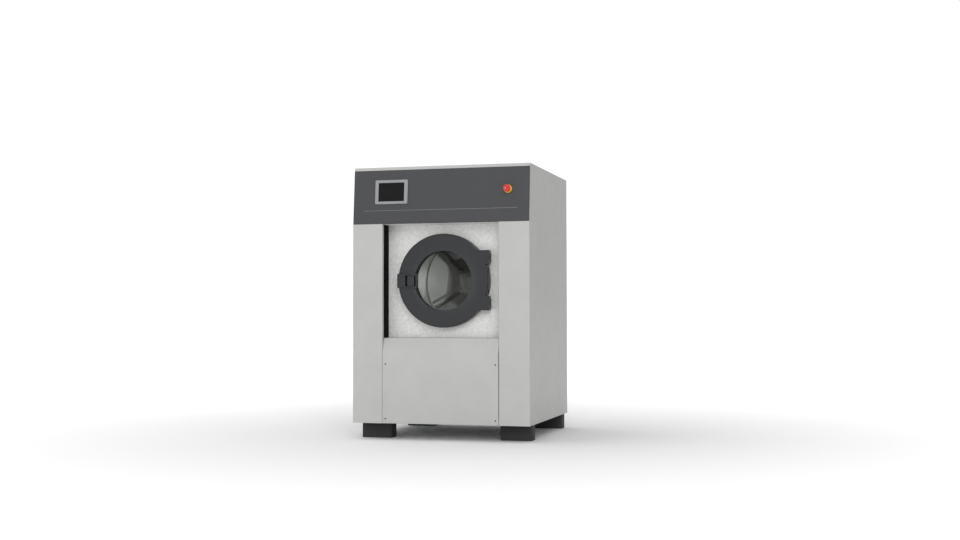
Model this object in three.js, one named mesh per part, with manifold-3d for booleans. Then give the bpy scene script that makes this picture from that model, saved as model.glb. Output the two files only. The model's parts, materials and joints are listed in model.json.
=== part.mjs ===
import * as THREE from "three";
import { mergeVertices } from "three/addons/utils/BufferGeometryUtils.js";
import Module from "manifold-3d";

// A free-standing commercial tumble dryer with a round porthole door, a leaning control
// fascia and a belt-driven drum. Millimetres, +Z up. Every piece is made with x = 0 in the
// middle of the machine, y = 0 at its front plane with +y to the back, and z = 0 on the
// floor; the whole machine is then moved back so that its footprint is centred.

const wasm = await Module();
wasm.setup();

// ---- driving dimensions ----

const WIDTH = 960;
const DEPTH = 955;
const HEIGHT = 1436;
const SHEET = 2; // folded steel sheet
const GAP = 0.3; // between pieces that touch
const ORIGIN_Y = 500; // from the front plane back to the middle of the footprint
const HALF = WIDTH / 2;
const INSIDE = HALF - SHEET - GAP; // half the room between the side panels

const FOOT = { width: 170, depth: 87, height: 85, centre: 382, radius: 15 };
const FOOT_ROWS = { front: 143.5, rear: 902.5 };
const BASE = FOOT.height;
const RAIL = { width: 80, height: 60, wall: 4, front: 20, back: 935 };
const TRAY = { front: 118, back: 930, height: 18, sheet: 3 };

const FASCIA_BOTTOM = 1134;
const FASCIA_SETBACK = 24; // how far its top stands behind its bottom
const LIP = 16; // front fold of the top panel, over the fascia
const LEAN = Math.atan2(FASCIA_SETBACK, HEIGHT - FASCIA_BOTTOM);

const COLUMN = { inner: 315.5, fold: 20 };
const POST = { inner: 320, width: 40, front: 31, back: 115, wall: 3 };
const RECESS_DEPTH = 118;
const LOWER = { half: 314.5, ledgeFoot: 463, ledgeTop: 533, setback: 25, shelf: 106 };

const AXIS_HEIGHT = 834; // the drum's and the door's common axis
const MOUTH = 172; // radius of the loading mouth in the front bulkhead
const ROUND = 64; // segments of the large rings

const DOOR = { front: 56, back: 110, outer: 247, inner: 156, rebate: 170.6, glassFront: 76 };
const BRACKET = { left: 212, right: 248, front: 112, half: 26 }; // plate of a hinge tongue
const LUG = { centre: 120, half: 37, left: 170, right: 250, back: 97 };
const HINGE = { x: 240, y: 80, pin: 4, eye: 8.5, slot: 9 };
const HANDLE = { left: -251, right: -141, half: 37, front: 48, back: 100, chamfer: 4 };
const HANDLE_STEP = { x: -171.5, y: 75.7 }; // where the block steps back over the glass
const POCKET = { left: -205, right: -146, half: 29, back: 70 };
const LEVER = { x: -199, y: 72, pin: 3, hub: 6.5, half: 27.5 };
const PADDLE = { left: -193.5, right: -157.5, front: 50, back: 61 };
const NOSE = { left: -229, shank: -219, right: -211, front: 130, back: 137, half: 10 };
const TAIL_SLOT = { left: -227, right: -196, half: 13 }; // the lever's way out to its nose
const ARM_ROOM = { right: -170, front: 62, back: 85 }; // where the lever's arm swings
const KEEPER = { left: -262, right: -180, half: 30, thick: 3 };

const DRUM = { radius: 272, front: 150, back: 642, mouth: 190 };
const DISH = { inner: 60, outer: 152, depth: 48, sheet: 3 }; // pressed in the drum's back
const RIB = { count: 5, first: 137, half: 24, height: 16, low: 105, high: 255 };
const LIFTER = { count: 3, first: 120, foot: 34, crest: 9, low: 202, high: 264, margin: 20 };
const HOUSING = { inner: 297, outer: 299, front: 125, back: 655 };
const AIR_IN = { half: 120, front: 500, back: 630 }; // from the heater into the housing
const AIR_OUT = { half: 190, front: 230, back: 560 }; // from the housing to the lint screen
const SHAFT = { radius: 25, flange: 56, thick: 10, end: 870 };
const BEARING = { outer: 45, width: 20, front: 668, rear: 766 };
const BEARING_CASE = { flange: 110, thick: 12, radius: 62, back: 790 };
const PULLEY = { radius: 215, rim: 10, y0: 805, y1: 845 };
const PULLEY_HUB = { radius: 45, y0: 795, y1: 855, webFront: 821, webBack: 829 };
const MOTOR = { x: 290, z: 245, radius: 78, front: 640, back: 790, shaft: 12, pulley: 40 };
const MOTOR_FOOT = { half: 65, front: 660, back: 770, top: 205 };

const BLOWER = { x: -300, y: 700, z: 290, half: 70, wheel: 110, inlet: 75, wall: 2.5 };
const VOLUTE = { start: -14, sweep: 284, small: 124, large: 180, mouth: -30, outlet: 250 };
const BLADE = { count: 12, length: 109, height: 26, thick: 2.5, centre: 95 };
const BLOWER_SHAFT = { radius: 10, hole: 14, hub: 22 };
const BLOWER_MOTOR = { radius: 62, length: 100 };
const SPIGOT = { radius: 75, wall: 2, z: 185, flange: 95, thick: 3 };
const HEATER = { half: 200, front: 480, back: 950, low: 1138, high: 1380 };
const ELEMENT = { runs: 4, low: 1215, rise: 42, reach: 150, bend: 32, y: 760, radius: 6 };
const LINT = { half: 230, front: 200, back: 620, low: 503, high: 523, rim: 12, floor: 4 };

const SCREEN = { left: -359, right: -179, low: 105.3, high: 233.7 };
const GLASS = { left: -341, right: -198, low: 119.4, high: 218.7 };
const ESTOP = { x: 364, z: 170, head: 20, front: -30, back: -12, stem: 8, travel: 24 };
const CONTACT = { half: 15, rise: 21, front: 6, back: 52 }; // the block behind the stop
const CONTROL_BOX = { left: -130, right: 290, front: 45, low: 1170, high: 1390 };

// The mushroom head is the front-most point of the machine, so the exhaust spigot ends as
// far behind the origin as the head stands before it.
const ESTOP_NOSE = ESTOP.front * Math.cos(LEAN) + ESTOP.z * Math.sin(LEAN);
const SPIGOT_END = 2 * ORIGIN_Y - ESTOP_NOSE;

// ---- materials ----

const paint = (color, roughness, metalness) =>
  new THREE.MeshStandardMaterial({ color, roughness, metalness });
const lightGrey = paint(0xbfbfbd, 0.45, 0.1);
const darkGrey = paint(0x4a4b4e, 0.5, 0.1);
const framePaint = paint(0x26272a, 0.6, 0.1);
const stainless = paint(0xc8c8c6, 0.3, 0.9);
const zinc = paint(0xa8abae, 0.45, 0.8);
const steel = paint(0x8b8d90, 0.35, 0.9);
const castIron = paint(0x5a5b5c, 0.7, 0.5);
const blackPlastic = paint(0x2c2d2f, 0.55, 0);
const greyPlastic = paint(0x9a9da2, 0.4, 0);
const rubber = paint(0x1d1d1e, 0.85, 0);
const screenGlass = paint(0x1f1f20, 0.12, 0);
const redPlastic = paint(0xc41a1a, 0.35, 0);
const yellowPlastic = paint(0xe2b81a, 0.4, 0);
const motorPaint = paint(0x3b4a5c, 0.5, 0.3);
const clearGlass = paint(0xdfe6e4, 0.05, 0);
clearGlass.transparent = true;
clearGlass.opacity = 0.35;

// ---- solids ----

function manifoldOf(vertProperties, triVerts) {
  return new wasm.Manifold(new wasm.Mesh({ numProp: 3, vertProperties, triVerts }));
}

// A closed three.js geometry as a solid with its faces pointing out.
function solidOf(geometry) {
  const bare = new THREE.BufferGeometry();
  bare.setAttribute("position", geometry.getAttribute("position"));
  bare.setIndex(geometry.index);
  const merged = mergeVertices(bare, 1e-3);
  const corners = merged.index.array;
  const kept = [];
  for (let i = 0; i < corners.length; i += 3) {
    const [a, b, c] = corners.slice(i, i + 3);
    if (a !== b && b !== c && c !== a) kept.push(a, b, c);
  }
  const positions = merged.getAttribute("position").array;
  const solid = manifoldOf(positions, new Uint32Array(kept));
  if (solid.volume() > 0) return solid;
  return manifoldOf(positions, new Uint32Array(kept.reverse()));
}

const vectors = (points) => points.map(([u, v]) => new THREE.Vector2(u, v));

function prism(points, holes, low, high, basis) {
  const shape = new THREE.Shape(vectors(points));
  shape.holes = holes.map((hole) => new THREE.Path(vectors(hole)));
  const geometry = new THREE.ExtrudeGeometry(shape, { depth: high - low, bevelEnabled: false });
  geometry.translate(0, 0, low);
  geometry.applyMatrix4(basis);
  return solidOf(geometry);
}

const X = new THREE.Vector3(1, 0, 0);
const Y = new THREE.Vector3(0, 1, 0);
const Z = new THREE.Vector3(0, 0, 1);
const FORWARD = new THREE.Vector3(0, -1, 0);
const basisOf = (u, v, w) => new THREE.Matrix4().makeBasis(u, v, w);

// Outlines of [y, z], [x, z] and [x, y] points, stretched along the third axis.
const alongX = (points, x0, x1, holes = []) => prism(points, holes, x0, x1, basisOf(Y, Z, X));
const alongY = (points, y0, y1, holes = []) => prism(points, holes, -y1, -y0, basisOf(X, Z, FORWARD));
const alongZ = (points, z0, z1, holes = []) => prism(points, holes, z0, z1, basisOf(X, Y, Z));

function box(x0, x1, y0, y1, z0, z1) {
  const geometry = new THREE.BoxGeometry(x1 - x0, y1 - y0, z1 - z0);
  geometry.translate((x0 + x1) / 2, (y0 + y1) / 2, (z0 + z1) / 2);
  return solidOf(geometry);
}

// A profile of [radius, height] points turned about Y, then laid along X or stood along Z.
function latheOf(profile, segments) {
  const points = vectors(profile);
  if (profile[0][0] > 0) points.push(points[0].clone());
  return new THREE.LatheGeometry(points, segments);
}
const turnedY = (profile, segments, x = 0, z = 0) =>
  solidOf(latheOf(profile, segments).translate(x, 0, z));
const turnedX = (profile, segments) => solidOf(latheOf(profile, segments).rotateZ(-Math.PI / 2));
const turnedZ = (profile, segments, x, y) =>
  solidOf(latheOf(profile, segments).rotateX(Math.PI / 2).translate(x, y, 0));

const rod = (radius, low, high) => [[0, low], [radius, low], [radius, high], [0, high]];
const ring = (inner, outer, low, high) => [[inner, low], [outer, low], [outer, high], [inner, high]];

function arc(u, v, radius, from, to, steps) {
  return Array.from({ length: steps + 1 }, (_, i) => {
    const angle = THREE.MathUtils.degToRad(from + ((to - from) * i) / steps);
    return [u + radius * Math.cos(angle), v + radius * Math.sin(angle)];
  });
}
const circle = (u, v, radius, segments) => arc(u, v, radius, 0, 360, segments).slice(0, segments);
const rectangle = (u0, u1, v0, v1) => [[u0, v0], [u1, v0], [u1, v1], [u0, v1]];

function rounded(u0, u1, v0, v1, radius, steps = 3) {
  return [
    ...arc(u1 - radius, v0 + radius, radius, -90, 0, steps),
    ...arc(u1 - radius, v1 - radius, radius, 0, 90, steps),
    ...arc(u0 + radius, v1 - radius, radius, 90, 180, steps),
    ...arc(u0 + radius, v0 + radius, radius, 180, 270, steps),
  ];
}

// Points turned round for the other side of the machine.
const mirrored = (points, side) => points.map(([u, v]) => [side * u, v]);

// ---- groups, and a named piece in one of them ----

const machine = new THREE.Group();
machine.position.y = -ORIGIN_Y;
const fascia = new THREE.Group(); // y = 0 is the fascia's face, z runs up along it
fascia.position.z = FASCIA_BOTTOM;
fascia.rotation.x = -LEAN;
const door = new THREE.Group(); // z = 0 is the drum's axis
door.position.z = AXIS_HEIGHT;
const drum = new THREE.Group();
drum.position.z = AXIS_HEIGHT;
const blower = new THREE.Group();
blower.position.set(BLOWER.x, BLOWER.y, BLOWER.z);
machine.add(fascia, door, drum, blower);

function piece(group, name, solid, material) {
  const { vertProperties, triVerts } = solid.getMesh();
  const geometry = new THREE.BufferGeometry();
  geometry.setAttribute("position", new THREE.BufferAttribute(vertProperties, 3));
  geometry.setIndex(new THREE.BufferAttribute(triVerts, 1));
  geometry.computeVertexNormals();
  const mesh = new THREE.Mesh(geometry, material);
  mesh.name = name;
  group.add(mesh);
}

const SIDES = { left: -1, right: 1 };

// ---- base and frame ----

function makeFeet() {
  for (const [row, y] of Object.entries(FOOT_ROWS)) {
    for (const [side, sign] of Object.entries(SIDES)) {
      const x = sign * FOOT.centre;
      const outline = rounded(
        x - FOOT.width / 2,
        x + FOOT.width / 2,
        y - FOOT.depth / 2,
        y + FOOT.depth / 2,
        FOOT.radius,
      );
      piece(machine, `foot_${row}_${side}`, alongZ(outline, 0, FOOT.height - GAP), rubber);
    }
  }
}

function makeBase() {
  const low = BASE;
  const high = BASE + RAIL.height;
  const inner = INSIDE - RAIL.width;
  const channel = [
    [inner, low],
    [INSIDE, low],
    [INSIDE, high],
    [inner, high],
    [inner, high - RAIL.wall],
    [INSIDE - RAIL.wall, high - RAIL.wall],
    [INSIDE - RAIL.wall, low + RAIL.wall],
    [inner, low + RAIL.wall],
  ];
  for (const [side, sign] of Object.entries(SIDES)) {
    piece(machine, `base_rail_${side}`, alongY(mirrored(channel, sign), RAIL.front, RAIL.back), framePaint);
  }
  const { front, back, height, sheet } = TRAY;
  const edge = low + height;
  const tray = [
    [front, low],
    [back, low],
    [back, edge],
    [back - sheet, edge],
    [back - sheet, low + sheet],
    [front + sheet, low + sheet],
    [front + sheet, edge],
    [front, edge],
  ];
  piece(machine, "base_tray", alongX(tray, -(inner - GAP), inner - GAP), zinc);
}

function makePosts() {
  const outer = POST.inner + POST.width;
  const section = [
    [POST.inner, POST.front],
    [outer, POST.front],
    [outer, POST.front + POST.wall],
    [POST.inner + POST.wall, POST.front + POST.wall],
    [POST.inner + POST.wall, POST.back - POST.wall],
    [outer, POST.back - POST.wall],
    [outer, POST.back],
    [POST.inner, POST.back],
  ];
  for (const [side, sign] of Object.entries(SIDES)) {
    const post = alongZ(mirrored(section, sign), BASE, FASCIA_BOTTOM - GAP);
    piece(machine, `post_front_${side}`, post, framePaint);
  }
}

// ---- sheet-metal casing ----

const leanAt = (z) => ((z - FASCIA_BOTTOM) * FASCIA_SETBACK) / (HEIGHT - FASCIA_BOTTOM);

function makeSidePanels() {
  const front = SHEET + GAP;
  const top = HEIGHT - SHEET - GAP;
  const outline = [
    [front, BASE],
    [DEPTH, BASE],
    [DEPTH, top],
    [leanAt(top) + front, top],
    [front, FASCIA_BOTTOM],
  ];
  piece(machine, "side_panel_left", alongX(outline, -HALF, SHEET - HALF), lightGrey);
  piece(machine, "side_panel_right", alongX(outline, HALF - SHEET, HALF), lightGrey);
}

function makeTopPanel() {
  const lipEnd = HEIGHT - LIP;
  const under = HEIGHT - SHEET;
  const profile = [
    [leanAt(lipEnd), lipEnd],
    [leanAt(lipEnd) + SHEET, lipEnd],
    [leanAt(under) + SHEET, under],
    [DEPTH, under],
    [DEPTH, HEIGHT],
    [FASCIA_SETBACK, HEIGHT],
  ];
  piece(machine, "top_panel", alongX(profile, -HALF, HALF), lightGrey);
}

const GLAND = { x: 380, z: 1290, hole: 14, bore: 5, stem: 13.5, nut: 19, dome: 12, reach: 22 };
const INTAKE = { columns: [-130, 0, 130], half: 55, low: 1215, pitch: 24, slot: 12, rows: 6 };

function makeRearPanel() {
  const outlet = circle(BLOWER.x, SPIGOT.z, SPIGOT.radius + 1, 32);
  const inlet = circle(GLAND.x, GLAND.z, GLAND.hole, 16);
  const outline = rectangle(-INSIDE, INSIDE, BASE, HEIGHT - SHEET - GAP);
  let sheet = alongY(outline, DEPTH - SHEET, DEPTH, [outlet, inlet]);
  for (let i = 0; i < INTAKE.rows; i += 1) {
    const low = INTAKE.low + i * INTAKE.pitch;
    for (const x of INTAKE.columns) {
      const slot = box(x - INTAKE.half, x + INTAKE.half, DEPTH - 5, DEPTH + 5, low, low + INTAKE.slot);
      sheet = sheet.subtract(slot);
    }
  }
  piece(machine, "rear_panel", sheet, lightGrey);
  const { bore, stem, nut, dome, reach } = GLAND;
  const profile = [
    [bore, DEPTH - 20],
    [stem, DEPTH - 20],
    [stem, DEPTH + GAP],
    [nut, DEPTH + GAP],
    [nut, DEPTH + 8],
    [dome, DEPTH + reach],
    [bore, DEPTH + reach],
  ];
  piece(machine, "cable_gland", turnedY(profile, 16, GLAND.x, GLAND.z), blackPlastic);
}

function makeColumns() {
  const section = [
    [COLUMN.inner, 0],
    [HALF, 0],
    [HALF, SHEET],
    [COLUMN.inner + SHEET, SHEET],
    [COLUMN.inner + SHEET, COLUMN.fold],
    [COLUMN.inner, COLUMN.fold],
  ];
  for (const [side, sign] of Object.entries(SIDES)) {
    const column = alongZ(mirrored(section, sign), BASE, FASCIA_BOTTOM - GAP);
    piece(machine, `front_column_${side}`, column, lightGrey);
  }
}

function makeLowerPanel() {
  const height = LOWER.ledgeTop - LOWER.ledgeFoot;
  const offset = (SHEET * Math.hypot(LOWER.setback, height)) / height; // slanted sheet, measured level
  const rise = (z) => (LOWER.setback * (z - LOWER.ledgeFoot)) / height;
  const profile = [
    [0, BASE],
    [SHEET, BASE],
    [SHEET, LOWER.ledgeFoot - 0.4],
    [rise(LOWER.ledgeTop - SHEET) + offset, LOWER.ledgeTop - SHEET],
    [LOWER.shelf, LOWER.ledgeTop - SHEET],
    [LOWER.shelf, LOWER.ledgeTop],
    [LOWER.setback, LOWER.ledgeTop],
    [0, LOWER.ledgeFoot],
  ];
  piece(machine, "lower_front_panel", alongX(profile, -LOWER.half, LOWER.half), lightGrey);
}

const BULKHEAD = { half: 470, low: 150, high: 1415 };
const REAR_SHEET = { low: 440, high: HEATER.low - 1, front: 660, back: 664, hole: 46 };
const SOFFIT = { half: COLUMN.inner - 1, front: 14 }; // the recess's ceiling
const CATCH = { left: -233, right: -192, half: 16 };

function makeBulkheads() {
  const mouth = circle(0, AXIS_HEIGHT, MOUTH, ROUND);
  const slot = rectangle(
    CATCH.left - 2,
    CATCH.right,
    AXIS_HEIGHT - CATCH.half - 2,
    AXIS_HEIGHT + CATCH.half + 2,
  );
  const front = rectangle(-BULKHEAD.half, BULKHEAD.half, BULKHEAD.low, BULKHEAD.high);
  const frontSheet = alongY(front, RECESS_DEPTH, RECESS_DEPTH + SHEET, [mouth, slot]);
  const soffit = box(
    -SOFFIT.half,
    SOFFIT.half,
    SOFFIT.front,
    RECESS_DEPTH + SHEET / 2,
    FASCIA_BOTTOM - GAP - SHEET,
    FASCIA_BOTTOM - GAP,
  );
  piece(machine, "front_bulkhead", frontSheet.add(soffit), stainless);
  const rear = rectangle(-BULKHEAD.half, BULKHEAD.half, REAR_SHEET.low, REAR_SHEET.high);
  const shaftHole = circle(0, AXIS_HEIGHT, REAR_SHEET.hole, 24);
  const rearSheet = alongY(rear, REAR_SHEET.front, REAR_SHEET.back, [shaftHole]);
  piece(machine, "rear_bulkhead", rearSheet, zinc);
}

// ---- control fascia ----

// A [y, z] point of the machine in the fascia's leaning frame.
function leaned([y, z]) {
  const rise = z - FASCIA_BOTTOM;
  return [y * Math.cos(LEAN) - rise * Math.sin(LEAN), y * Math.sin(LEAN) + rise * Math.cos(LEAN)];
}

const FASCIA_FOLD = 12; // how far its bottom edge is turned in

function makeFascia() {
  const height = (HEIGHT - LIP - GAP - FASCIA_BOTTOM) / Math.cos(LEAN);
  const skin = alongY(rectangle(-HALF, HALF, 0, height), 0, SHEET, [
    rectangle(GLASS.left - 2, GLASS.right + 2, GLASS.low - 2, GLASS.high + 2),
    circle(ESTOP.x, ESTOP.z, 12, 24),
  ]);
  const fold = [
    [0, FASCIA_BOTTOM],
    [FASCIA_FOLD, FASCIA_BOTTOM],
    [FASCIA_FOLD, FASCIA_BOTTOM + SHEET],
    [SHEET / 2, FASCIA_BOTTOM + SHEET],
  ].map(leaned);
  piece(fascia, "control_fascia", skin.add(alongX(fold, -INSIDE, INSIDE)), darkGrey);
}

function makeTouchscreen() {
  const frame = rounded(SCREEN.left, SCREEN.right, SCREEN.low, SCREEN.high, 6);
  const window = rectangle(GLASS.left, GLASS.right, GLASS.low, GLASS.high);
  piece(fascia, "touchscreen_bezel", alongY(frame, -5, -GAP, [window]), greyPlastic);
  const display = box(
    GLASS.left + GAP,
    GLASS.right - GAP,
    -2.5,
    38,
    GLASS.low + GAP,
    GLASS.high - GAP,
  );
  piece(fascia, "touchscreen_display", display, screenGlass);
}

function makeEmergencyStop() {
  const { x, z } = ESTOP;
  const collar = [[8.5, -4], [22, -4], [22, -GAP], [11.1, -GAP], [11.1, 6], [8.5, 6]];
  piece(fascia, "estop_collar", turnedY(collar, 24, x, z), yellowPlastic);
  const plunger = rod(ESTOP.stem, ESTOP.back + GAP, ESTOP.travel);
  piece(fascia, "estop_plunger", turnedY(plunger, 16, x, z), blackPlastic);
  const head = [
    [0, ESTOP.back],
    [ESTOP.head - 2, ESTOP.back],
    ...arc(ESTOP.head - 8, ESTOP.back - 8, 8, 40, -60, 4),
    [0, ESTOP.front],
  ];
  piece(fascia, "estop_button", turnedY(head, 24, x, z), redPlastic);
  const { half, rise, front, back } = CONTACT;
  const block = box(x - half, x + half, front + GAP, back, z - rise, z + rise);
  const bore = turnedY(rod(ESTOP.stem + 1, front - 1, ESTOP.travel + 8), 16, x, z);
  piece(fascia, "estop_contact_block", block.subtract(bore), blackPlastic);
}

function makeControlBox() {
  const { left, right, front, low, high } = CONTROL_BOX;
  piece(machine, "control_box", box(left, right, front, RECESS_DEPTH - GAP, low, high), zinc);
}

// ---- porthole door, hinged on the right ----

function makeDoorRing() {
  const profile = [
    [DOOR.inner, DOOR.glassFront],
    ...arc(DOOR.inner + 4, DOOR.front + 4, 4, 180, 270, 2),
    ...arc(DOOR.outer - 6, DOOR.front + 6, 6, -90, 0, 3),
    [DOOR.outer, DOOR.back],
    [DOOR.rebate, DOOR.back],
    [DOOR.rebate, DOOR.glassFront],
  ];
  let solid = turnedY(profile, ROUND);
  for (const sign of [-1, 1]) {
    const z = sign * LUG.centre;
    const lug = box(LUG.left, LUG.right, DOOR.front, LUG.back, z - LUG.half, z + LUG.half);
    const slot = box(HINGE.x - 12, LUG.right + 2, DOOR.front + 8, 112, z - HINGE.slot, z + HINGE.slot);
    const bore = turnedZ(rod(HINGE.pin + GAP + 0.1, z - LUG.half - 1, z + LUG.half + 1), 16, HINGE.x, HINGE.y);
    solid = solid.add(lug).subtract(slot).subtract(bore);
  }
  const recess = box(
    HANDLE.left - GAP,
    HANDLE.right + GAP,
    HANDLE.front - 1,
    HANDLE.back + GAP,
    -HANDLE.half - GAP,
    HANDLE.half + GAP,
  );
  const tailSlot = box(
    TAIL_SLOT.left,
    TAIL_SLOT.right,
    HANDLE.back - 1,
    DOOR.back + 1,
    -TAIL_SLOT.half,
    TAIL_SLOT.half,
  );
  piece(door, "door_ring", solid.subtract(recess).subtract(tailSlot), darkGrey);
}

function makeDoorGlass() {
  const edge = DOOR.rebate - 0.4;
  const pane = rod(edge, DOOR.glassFront + GAP, DOOR.glassFront + 8);
  piece(door, "door_glass", turnedY(pane, ROUND), clearGlass);
  const clamp = ring(DOOR.inner + 2, edge, DOOR.glassFront + 8 + GAP, 100);
  piece(door, "door_glass_retainer", turnedY(clamp, ROUND), darkGrey);
}

function makeDoorGasket() {
  const profile = [
    [MOUTH - 12, DOOR.back + 0.5],
    [MOUTH + 14, DOOR.back + 0.5],
    [MOUTH + 14, RECESS_DEPTH - GAP],
    [MOUTH - 0.6, RECESS_DEPTH - GAP],
    [MOUTH - 0.6, RECESS_DEPTH + 7],
    [MOUTH - 12, RECESS_DEPTH + 7],
  ];
  piece(door, "door_gasket", turnedY(profile, ROUND), rubber);
}

function makeHinges() {
  const { left, right, front } = BRACKET;
  for (const [place, sign] of [["upper", 1], ["lower", -1]]) {
    const z = sign * LUG.centre;
    const half = HINGE.slot - 1;
    const outline = [
      ...arc(HINGE.x, HINGE.y, HINGE.eye, 180, 360, 8),
      [HINGE.x + HINGE.eye, front + 1],
      [HINGE.x - HINGE.eye, front + 1],
    ];
    const eye = circle(HINGE.x, HINGE.y, HINGE.pin + GAP, 16);
    const tongue = alongZ(outline, z - half, z + half, [eye]);
    const plate = box(left, right, front, RECESS_DEPTH - GAP, z - BRACKET.half, z + BRACKET.half);
    piece(door, `hinge_bracket_${place}`, tongue.add(plate), darkGrey);
    const pin = rod(HINGE.pin, z - LUG.half + 1, z + LUG.half - 1);
    piece(door, `hinge_pin_${place}`, turnedZ(pin, 16, HINGE.x, HINGE.y), steel);
  }
}

function makeHandle() {
  const { left, right, half, front, back, chamfer } = HANDLE;
  const outline = [
    [left + chamfer, front],
    [right - chamfer, front],
    [right, front + chamfer],
    [right, HANDLE_STEP.y],
    [HANDLE_STEP.x, HANDLE_STEP.y],
    [HANDLE_STEP.x, back],
    [left, back],
    [left, front + chamfer],
  ];
  const block = alongZ(outline, -half, half);
  const pocket = box(POCKET.left, POCKET.right, front - 1, POCKET.back, -POCKET.half, POCKET.half);
  const swing = box(
    TAIL_SLOT.left + 1,
    ARM_ROOM.right,
    ARM_ROOM.front,
    ARM_ROOM.back,
    -POCKET.half,
    POCKET.half,
  );
  const tailSlot = box(
    TAIL_SLOT.left,
    TAIL_SLOT.right,
    ARM_ROOM.back - 1,
    back + 1,
    -TAIL_SLOT.half,
    TAIL_SLOT.half,
  );
  const pinHole = turnedZ(rod(LEVER.pin + GAP, 2 - half, half - 2), 12, LEVER.x, LEVER.y);
  const housing = block.subtract(pocket).subtract(swing).subtract(tailSlot).subtract(pinHole);
  piece(door, "door_handle_housing", housing, darkGrey);
}

// The pull: a paddle in the handle's pocket on a hub, with an arm that runs back to the nose.
function makeLever() {
  const { x, y, half } = LEVER;
  const paddle = box(PADDLE.left, PADDLE.right, PADDLE.front, PADDLE.back, -half, half);
  const hub = turnedZ(rod(LEVER.hub, -half, half), 16, x, y);
  const web = box(x, PADDLE.left + 7.5, PADDLE.back - 3, y, -half, half);
  const arm = box(NOSE.shank, x, y - 4, y + 4, -NOSE.half, NOSE.half);
  const tail = box(NOSE.shank, NOSE.right, y - 4, NOSE.back, -NOSE.half, NOSE.half);
  const nose = box(NOSE.left, NOSE.right, NOSE.front, NOSE.back, -NOSE.half, NOSE.half);
  const bore = turnedZ(rod(LEVER.pin + GAP, -half - 1, half + 1), 12, x, y);
  const lever = paddle.add(hub).add(web).add(arm).add(tail).add(nose).subtract(bore);
  piece(door, "latch_lever", lever, blackPlastic);
  const pin = rod(LEVER.pin, 2.5 - HANDLE.half, HANDLE.half - 2.5);
  piece(door, "lever_pin", turnedZ(pin, 12, x, y), steel);
}

function makeKeeper() {
  const back = RECESS_DEPTH + SHEET + GAP;
  const plate = rectangle(KEEPER.left, KEEPER.right, -KEEPER.half, KEEPER.half);
  const slot = rectangle(CATCH.left, CATCH.right, -CATCH.half, CATCH.half);
  piece(door, "latch_keeper", alongY(plate, back, back + KEEPER.thick, [slot]), steel);
}

// ---- drum ----

function turnedAbout(solidMaker, degrees) {
  const turn = new THREE.Matrix4().makeRotationY(-THREE.MathUtils.degToRad(degrees));
  return solidOf(solidMaker().applyMatrix4(turn));
}

// A three-sided bar with its ridge towards the drum's inside, before it is turned to its
// place: it runs along +x when it is a rib, and along y when it is a lifter.
function ribGeometry() {
  const section = new THREE.Shape(vectors([[-RIB.half, 2], [0, -RIB.height], [RIB.half, 2]]));
  const depth = RIB.high - RIB.low;
  const geometry = new THREE.ExtrudeGeometry(section, { depth, bevelEnabled: false });
  geometry.translate(0, 0, RIB.low);
  return geometry.applyMatrix4(basisOf(Z, Y, X)).translate(0, DRUM.back, 0);
}

function lifterGeometry() {
  const { foot, crest, low, high, margin } = LIFTER;
  const section = new THREE.Shape(vectors([[high, -foot], [low, -crest], [low, crest], [high, foot]]));
  const depth = DRUM.back - DRUM.front - SHEET - 2 * margin;
  const geometry = new THREE.ExtrudeGeometry(section, { depth, bevelEnabled: false });
  return geometry.applyMatrix4(basisOf(X, Z, FORWARD)).translate(0, DRUM.back - margin, 0);
}

function makeDrum() {
  const { radius, front, back, mouth } = DRUM;
  const shell = [
    [mouth, front],
    [radius + SHEET, front],
    [radius + SHEET, back],
    [radius, back],
    [radius, front + SHEET],
    [mouth, front + SHEET],
  ];
  piece(drum, "drum_shell", turnedY(shell, ROUND), stainless);

  const { inner, outer, depth, sheet } = DISH;
  const plate = [
    [0, back - depth],
    [inner, back - depth],
    [outer, back + GAP],
    [radius + SHEET, back + GAP],
    [radius + SHEET, back + GAP + sheet],
    [outer - 1, back + GAP + sheet],
    [inner - 1, back - depth + sheet],
    [0, back - depth + sheet],
  ];
  let backPlate = turnedY(plate, ROUND);
  for (let i = 0; i < RIB.count; i += 1) {
    backPlate = backPlate.add(turnedAbout(ribGeometry, RIB.first + (360 / RIB.count) * i));
  }
  piece(drum, "drum_back_plate", backPlate, stainless);

  for (let i = 0; i < LIFTER.count; i += 1) {
    const lifter = turnedAbout(lifterGeometry, LIFTER.first + (360 / LIFTER.count) * i);
    piece(drum, `drum_lifter_${i + 1}`, lifter, stainless);
  }
}

function makeDrumHousing() {
  const { inner, outer, front, back } = HOUSING;
  const shell = turnedY(ring(inner, outer, front, back), ROUND);
  const airIn = box(-AIR_IN.half, AIR_IN.half, AIR_IN.front, AIR_IN.back, 0, outer + 1);
  const airOut = box(-AIR_OUT.half, AIR_OUT.half, AIR_OUT.front, AIR_OUT.back, -outer - 1, 0);
  piece(drum, "drum_housing", shell.subtract(airIn).subtract(airOut), zinc);
}

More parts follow.
